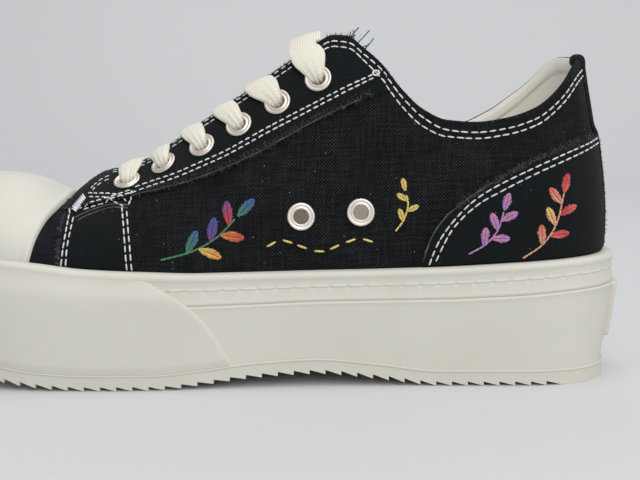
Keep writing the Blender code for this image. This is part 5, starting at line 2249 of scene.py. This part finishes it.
@dataclass
class Fraying(Threadwork):
    """Loose fibres along raw edges of the canvas."""

    seed: int = 23
    radius: float = 0.11
    fold_radius: float = 0.24
    strip_density: float = 3.2
    strip_length: float = 1.3
    uneven: tuple[float, float] = (0.4, 1.5)
    lean: float = 0.55
    rise: float = 0.4
    curl: float = 0.35
    greys: tuple[float, float] = (30.0, 84.0)
    pale_share: float = 0.16
    pale_more: float = 70.0
    roll_span: tuple[float, float] = (0.254, 0.325)
    roll_colour: Colour = (20, 20, 22)
    loose: int = 12

    def tuft(self, roots: Array, square: Array, along: Array, length: float, outward: Array) -> None:
        """Curling fibres that stand at points.

        Args:
            roots: Where they start, (count, 3).
            square: Normals of the cloth.
            along: Directions along the edge.
            length: Mean length.
            outward: Directions away from the layer.
        """
        count = len(roots)
        reach = self.draw.uniform(*self.uneven, (count, 1)) * length
        lean = self.draw.normal(0, self.lean, (count, 1))
        rise = self.draw.uniform(0.0, self.rise, (count, 1))
        head = unit(outward + along * lean + square * rise)
        curl = along * self.draw.normal(0, 1, (count, 1))
        curl = unit(curl + square * self.draw.normal(0, 0.5, (count, 1)))
        t = np.linspace(0, 1, 5)[None, :, None]
        path = roots[:, None] + head[:, None] * (reach[:, None] * t)
        path = path + curl[:, None] * (self.curl * reach[:, None] * t * t)
        grey = self.draw.uniform(*self.greys, count)
        grey = grey + np.where(self.draw.random(count) < self.pale_share, self.pale_more, 0)
        tint = (grey / 255)[:, None, None, None] ** 2.2 * np.array([0.92, 1.0, 1.08])
        ups = np.broadcast_to(square[:, None], path.shape)
        taper = self.radius * (1 - 0.5 * t[0, :, 0])
        self.draft.tubes(path, ups, taper, taper, 4, tint)

    def scatter(self, line: Array, square: Array, density: float) -> tuple[Array, Array, Array]:
        """Random places along an edge.

        Args:
            line: Points of the edge.
            square: Normals of the cloth there.
            density: Places per millimetre.

        Returns:
            Points, normals and directions along the edge.
        """
        length = arc(line)
        at = np.sort(self.draw.uniform(0, length[-1], int(length[-1] * density)))
        along = unit(along_line(np.gradient(line, axis=0), length, at))
        return along_line(line, length, at), unit(along_line(square, length, at)), along

    def edge(self, row: FrayRow, side: Side) -> None:
        """Fibres along one raw edge.

        Args:
            row: The edge.
            side: Side of the shoe.
        """
        w, v = self.places(row.line, 0.5, side)
        line = self.form.out(w, v, row.height)
        roots, normal, along = self.scatter(line, self.form.normal(w, v), row.density)
        away = np.array([row.away.x, 0.0, row.away.z])
        away = unit(away - normal * (normal @ away)[:, None])
        back = self.draw.uniform(0, 1, (len(roots), 1)) ** 1.5
        sunk = self.draw.uniform(0, 0.7, (len(roots), 1)) * row.height * (back < 0.2)
        self.tuft(roots - away * back * row.margin - normal * sunk, normal, along, row.length, away)

    def top_edge(self, side: Side) -> None:
        """Short fuzz along the throat edge and the collar.

        Args:
            side: Side of the shoe.
        """
        top = np.ones(200)
        for row in TOP_FUZZ:
            w = side.value * np.linspace(row.first, row.last, len(top))
            line = self.form.out(w, top, 1.0)
            roots, normal, along = self.scatter(line, self.form.normal(w, top), row.density)
            away = np.cross(normal, along)
            self.tuft(roots, normal, along, row.length, away * np.sign(away[:, 2:]))

    def strip_edges(self) -> None:
        """Fibres along both edges of the back strip."""
        v = np.linspace(0.03, 1.0, 160)
        for side in Side:
            w = np.full(len(v), side.value * (1 - self.upper.strip_half))
            line = self.form.out(w, v, self.upper.face(w, v) + 0.4)
            roots, normal, along = self.scatter(line, self.form.normal(w, v), self.strip_density)
            away = np.cross(along, normal)
            away = away * np.sign(away[:, 1:2]) * side.value
            self.tuft(roots, normal, along, self.strip_length, away)

    def fold(self, line: Sequence[Spot], side: Side, height: float, painted_highlight: float = 118.0) -> None:
        """Pale tube along a folded edge, its pale grey a painted highlight.

        Args:
            line: The edge from the side.
            side: Side of the shoe.
            height: Height over the shell.
            painted_highlight: Grey of the highlight's palest parts.
        """
        w, v = self.places(line, 0.6, side)
        worn = self.draw.uniform(0.5, 1.0, 24) * painted_highlight
        worn = np.interp(np.linspace(0, 1, len(w)), np.linspace(0, 1, len(worn)), worn)
        tint = (worn / 255)[None, :, None, None] ** 2.2 * np.ones(3)
        path = self.form.out(w, v, height)
        radius = self.fold_radius
        self.draft.tubes(path[None], self.form.normal(w, v)[None], radius, radius, 6, tint)

    def throat_roll(self, side: Side) -> None:
        """Thick rolled edge at the front of the throat.

        Args:
            side: Side of the shoe.
        """
        u = np.linspace(*self.roll_span, 40)
        top = np.ones(40)
        end = self.roll_span[1]
        lump = 0.9 * (1 - smooth_step(u, 0.295, end)) * smooth_step(u, 0.2535, 0.258) + 0.05
        lump = lump * self.draw.uniform(0.8, 1.25, 40)
        path = self.form.out(side.value * u, top, 0.9 - 0.3 * smooth_step(u, 0.29, end))
        ups = self.form.normal(side.value * u, top)
        self.draft.tubes(path[None], ups[None], 1.15 * lump, lump, 10, np.array(linear(self.roll_colour)))

    def loose_threads(self) -> None:
        """A few long threads that stand up behind the throat's top corner."""
        count = self.loose
        w = self.draw.uniform(0.588, 0.614, count) * np.where(np.arange(count) % 3 == 0, 1, -1)
        root = self.form.out(w, np.full(count, 0.99), -0.4)
        head = unit(np.stack([self.draw.uniform(-0.2, 1.0, count), self.draw.normal(0, 0.3, count),
                              self.draw.uniform(0.5, 1.1, count)], axis=-1))
        reach = self.draw.uniform(2.5, 6.0, (count, 1, 1))
        t = np.linspace(0, 1, 9)[None, :, None]
        curl = unit(self.draw.normal(0, 1, (count, 1, 3)))
        path = root[:, None] + head[:, None] * reach * t + curl * reach * 0.3 * t * t
        tint = LOOSE_TINTS[np.arange(count) % 3][:, None, None]
        ups = np.broadcast_to(np.array([0.0, -1.0, 0.1]), path.shape)
        self.draft.tubes(path, ups, 0.22, 0.22, 5, tint)

    def build(self) -> None:
        """Frays every raw edge and makes the piece."""
        for side in Side:
            for row in FRAYS:
                self.edge(row, side)
            self.top_edge(side)
            # Pale tubes along the counter edge, the facing edge and the facing front's folds: painted
            # highlights.
            self.fold(COUNTER_EDGE[1:7], side, 1.5)
            self.fold(FACING_EDGE[2:7], side, 1.4, 95.0)
            for line in PAINTED_HIGHLIGHT_FOLDS:
                self.fold(line, side, 0.5)
            self.throat_roll(side)
        self.strip_edges()
        self.loose_threads()
        place(self.draft.make("frayed_fibres", self.thread), Slot.CANVAS)


class Sprig(NamedTuple):
    """Stem with satin-stitched leaves: its line, how many, how long and wide, and thread colours in pairs."""

    stem: tuple[Spot, ...]
    leaves: int
    length: float
    width: float
    threads: tuple[tuple[Colour, Colour], ...]


YELLOW = (240, 214, 110)
ORANGE = (232, 140, 52)
RED = (214, 52, 58)
PURPLE = (120, 62, 140)
BLUE = (58, 84, 170)
GREEN = (58, 140, 84)
LILAC = (188, 140, 208)
PINK = (222, 138, 182)
PEACH = (236, 172, 136)
CORAL = (236, 104, 96)

SPRIGS = (
    Sprig(rows(Spot, (-39, 46.5), (-29, 49), (-19.5, 54), (-12, 61.5)), 6, 8.6, 3.6,
          ((GREEN, BLUE), (YELLOW, ORANGE), (PURPLE, BLUE), (ORANGE, RED), (RED, PURPLE))),
    Sprig(rows(Spot, (45, 56), (48.2, 60.5), (49.6, 66), (48.6, 70.5)), 4, 4.6, 2.1,
          ((YELLOW, YELLOW),)),
    Sprig(rows(Spot, (71.5, 48), (77.5, 51.5), (82, 57), (84, 63.5)), 5, 6.4, 3,
          ((LILAC, PINK), (PINK, LILAC))),
    Sprig(rows(Spot, (91, 46.5), (98, 51.5), (103, 59.5), (105.4, 69.5)), 6, 7, 3,
          ((PEACH, CORAL), (CORAL, RED), (PEACH, YELLOW), (RED, CORAL))),
)
WAVE = rows(Spot, (-2, 50.4), (4, 53), (11, 50.6), (18, 48.6), (25, 51.2), (32, 53.4), (40, 51))


@dataclass
class Needlework(Threadwork):
    """Hand-sewn coloured sprigs and a running-stitch wave on the inner side."""

    seed: int = 37
    strand: float = 0.52
    spread: float = 0.85
    wave_pitch: float = 6.2
    wave_dash: float = 3.6

    def strands(self, ends: Array, tints: Array, radius: float, crown: float) -> None:
        """Threads between pairs of side-view points.

        Args:
            ends: Pairs, (count, 2, 2).
            tints: Colours, (count, 3).
            radius: Radius of a thread.
            crown: How far it stands up in its middle.
        """
        step = np.linspace(0, 1, 7)
        flat = ends[:, :1] + (ends[:, 1:] - ends[:, :1]) * step[None, :, None]
        w, v = self.form.at(flat[..., 0], flat[..., 1], Side.MEDIAL)
        swell = np.sqrt(np.sin(step * math.pi))
        path = self.form.out(w, v, self.upper.face(w, v) + crown * swell[None] - 0.15)
        wide = radius * (0.65 + 0.35 * swell)
        self.draft.tubes(path, self.form.normal(w, v), wide, wide, 6, tints[:, None, None])

    def leaf(self, base: Array, turn: float, sprig: Sprig, threads: tuple[Colour, Colour]) -> None:
        """One leaf of slanting threads from its spine to its edges.

        Args:
            base: Where it leaves the stem, seen from the side.
            turn: Its direction in radians.
            sprig: The sprig that it belongs to.
            threads: Colours at its foot and at its tip.
        """
        along = np.array([math.cos(turn), math.sin(turn)])
        across = np.array([-along[1], along[0]])
        count = int(sprig.length / self.strand)
        share = (np.arange(count) + 0.5) / count
        half = sprig.width / 2 * np.sin(share ** 0.8 * math.pi) ** 0.7
        spine = base + along * (share * sprig.length)[:, None]
        light, deep = (np.array(linear(colour)) for colour in threads)
        for sign in (-1.0, 1.0):
            jag = self.draw.uniform(0.82, 1.12, (count, 1))
            tip = spine + across * sign * half[:, None] * jag + along * (0.75 * half)[:, None]
            blend = np.clip(share + self.draw.normal(0, 0.16, count), 0, 1)[:, None]
            tints = (light + (deep - light) * blend) * self.draw.uniform(0.8, 1.05, (count, 1))
            self.strands(np.stack([spine, tip], axis=1), tints, 0.27, 0.42)

    def sprig(self, sprig: Sprig) -> None:
        """Back-stitched stem with leaves to both sides and one at its end.

        Args:
            sprig: The sprig.
        """
        line = drawn(sprig.stem, 0.25)
        marks = line[::8]
        tints = np.array(linear(sprig.threads[0][0])) * self.draw.uniform(0.85, 1.0, (len(marks) - 1, 1))
        self.strands(np.stack([marks[:-1], marks[1:]], axis=1), tints, 0.36, 0.45)
        for number, share in enumerate(np.linspace(0.3, 1.0, sprig.leaves)):
            k = min(len(line) - 1, int(share * len(line)))
            way = line[k] - line[k - 1]
            lean = 0.0 if number == sprig.leaves - 1 else self.spread * (-1) ** number
            threads = sprig.threads[number % len(sprig.threads)]
            self.leaf(line[k], math.atan2(way[1], way[0]) + lean, sprig, threads)

    def wave(self) -> None:
        """Running stitches along a wave."""
        line = drawn(WAVE, 0.25)
        chord = arc(line)
        start = np.arange(0.4, chord[-1] - 4, self.wave_pitch)
        start = start + self.draw.uniform(-0.4, 0.4, len(start))
        ends = [np.stack([np.interp(start + more, chord, line[:, k]) for k in range(2)], axis=-1)
                for more in (0, self.wave_dash)]
        tints = np.array(linear(YELLOW)) * self.draw.uniform(0.9, 1.05, (len(start), 1))
        self.strands(np.stack(ends, axis=1), tints, 0.42, 0.5)

    def build(self) -> None:
        """Sews every motif and makes the piece."""
        for sprig in SPRIGS:
            self.sprig(sprig)
        self.wave()
        place(self.draft.make("needlework", self.thread), Slot.LACE)


def dress_footbed(cloth: Material) -> None:
    """Gives the footbed solid its cloth.

    Args:
        cloth: The finish.
    """
    solid = bpy.data.objects["insole"]
    solid.data.materials.clear()
    solid.data.materials.append(cloth)


def main() -> None:
    """Builds the shoe and its studio."""
    logging.basicConfig(level=logging.INFO, format="%(name)s: %(message)s")
    form = Form()
    # worn: colour of the painted highlight on each cloth's thread crowns.
    canvas = ClothFinish("black_canvas", (6, 7, 9), worn=(56, 57, 61), lint=(150, 150, 152), pitch=0.6,
                         depth=0.16, sheen=0.015, tinted=True).make()
    twill = ClothFinish("black_twill", (15, 18, 20), worn=(30, 35, 38), lint=(120, 122, 124), pitch=0.5,
                        depth=0.1).make()
    lining = ClothFinish("lining_canvas", (249, 246, 237), worn=(254, 251, 244), lint=(254, 251, 244),
                         lint_share=0.0, pitch=0.5, depth=0.1, tinted=True).make()
    footbed = ClothFinish("insole_cloth", (190, 186, 174), worn=(210, 207, 197), lint=(220, 218, 210),
                          lint_share=0.05).make()
    rubber = RubberFinish("off_white_rubber", (211, 209, 198), soiled=(202, 199, 187)).make()
    tread = RubberFinish("tread_rubber", (208, 206, 195), 0.55, (197, 193, 181)).make()
    nickel = MetalFinish("nickel", (226, 217, 207), 0.36).make()
    vent_metal = MetalFinish("vent_nickel", (232, 224, 216), 0.42).make()
    cotton = LaceFinish("cream_cotton", (232, 229, 214), shade=(220, 216, 199)).make()
    white = ThreadFinish("white_thread").make()
    fibre = ThreadFinish("canvas_fibre", roughness=0.9, sheen=0.1, pitch=5.0).make()
    coloured = ThreadFinish("coloured_thread", roughness=0.45, sheen=0.3, pitch=1.1).make()
    holes = {side: [hole_at(form, spot, side) for spot in EYELETS] for side in Side}
    vents = [hole_at(form, spot, Side.MEDIAL) for spot in VENTS]
    Studio().build()
    RubberSole(form, rubber, tread).build()
    upper = CanvasUpper(form, canvas, twill, lining, holes, vents)
    upper.build()
    dress_footbed(footbed)
    EyeletRings(nickel, holes, vents, vent_metal).build()
    Lacing(form, cotton, holes).build()
    for work in (Sewing(upper, white), Fraying(upper, fibre), Needlework(upper, coloured)):
        work.build()


if __name__ == "__main__":
    main()
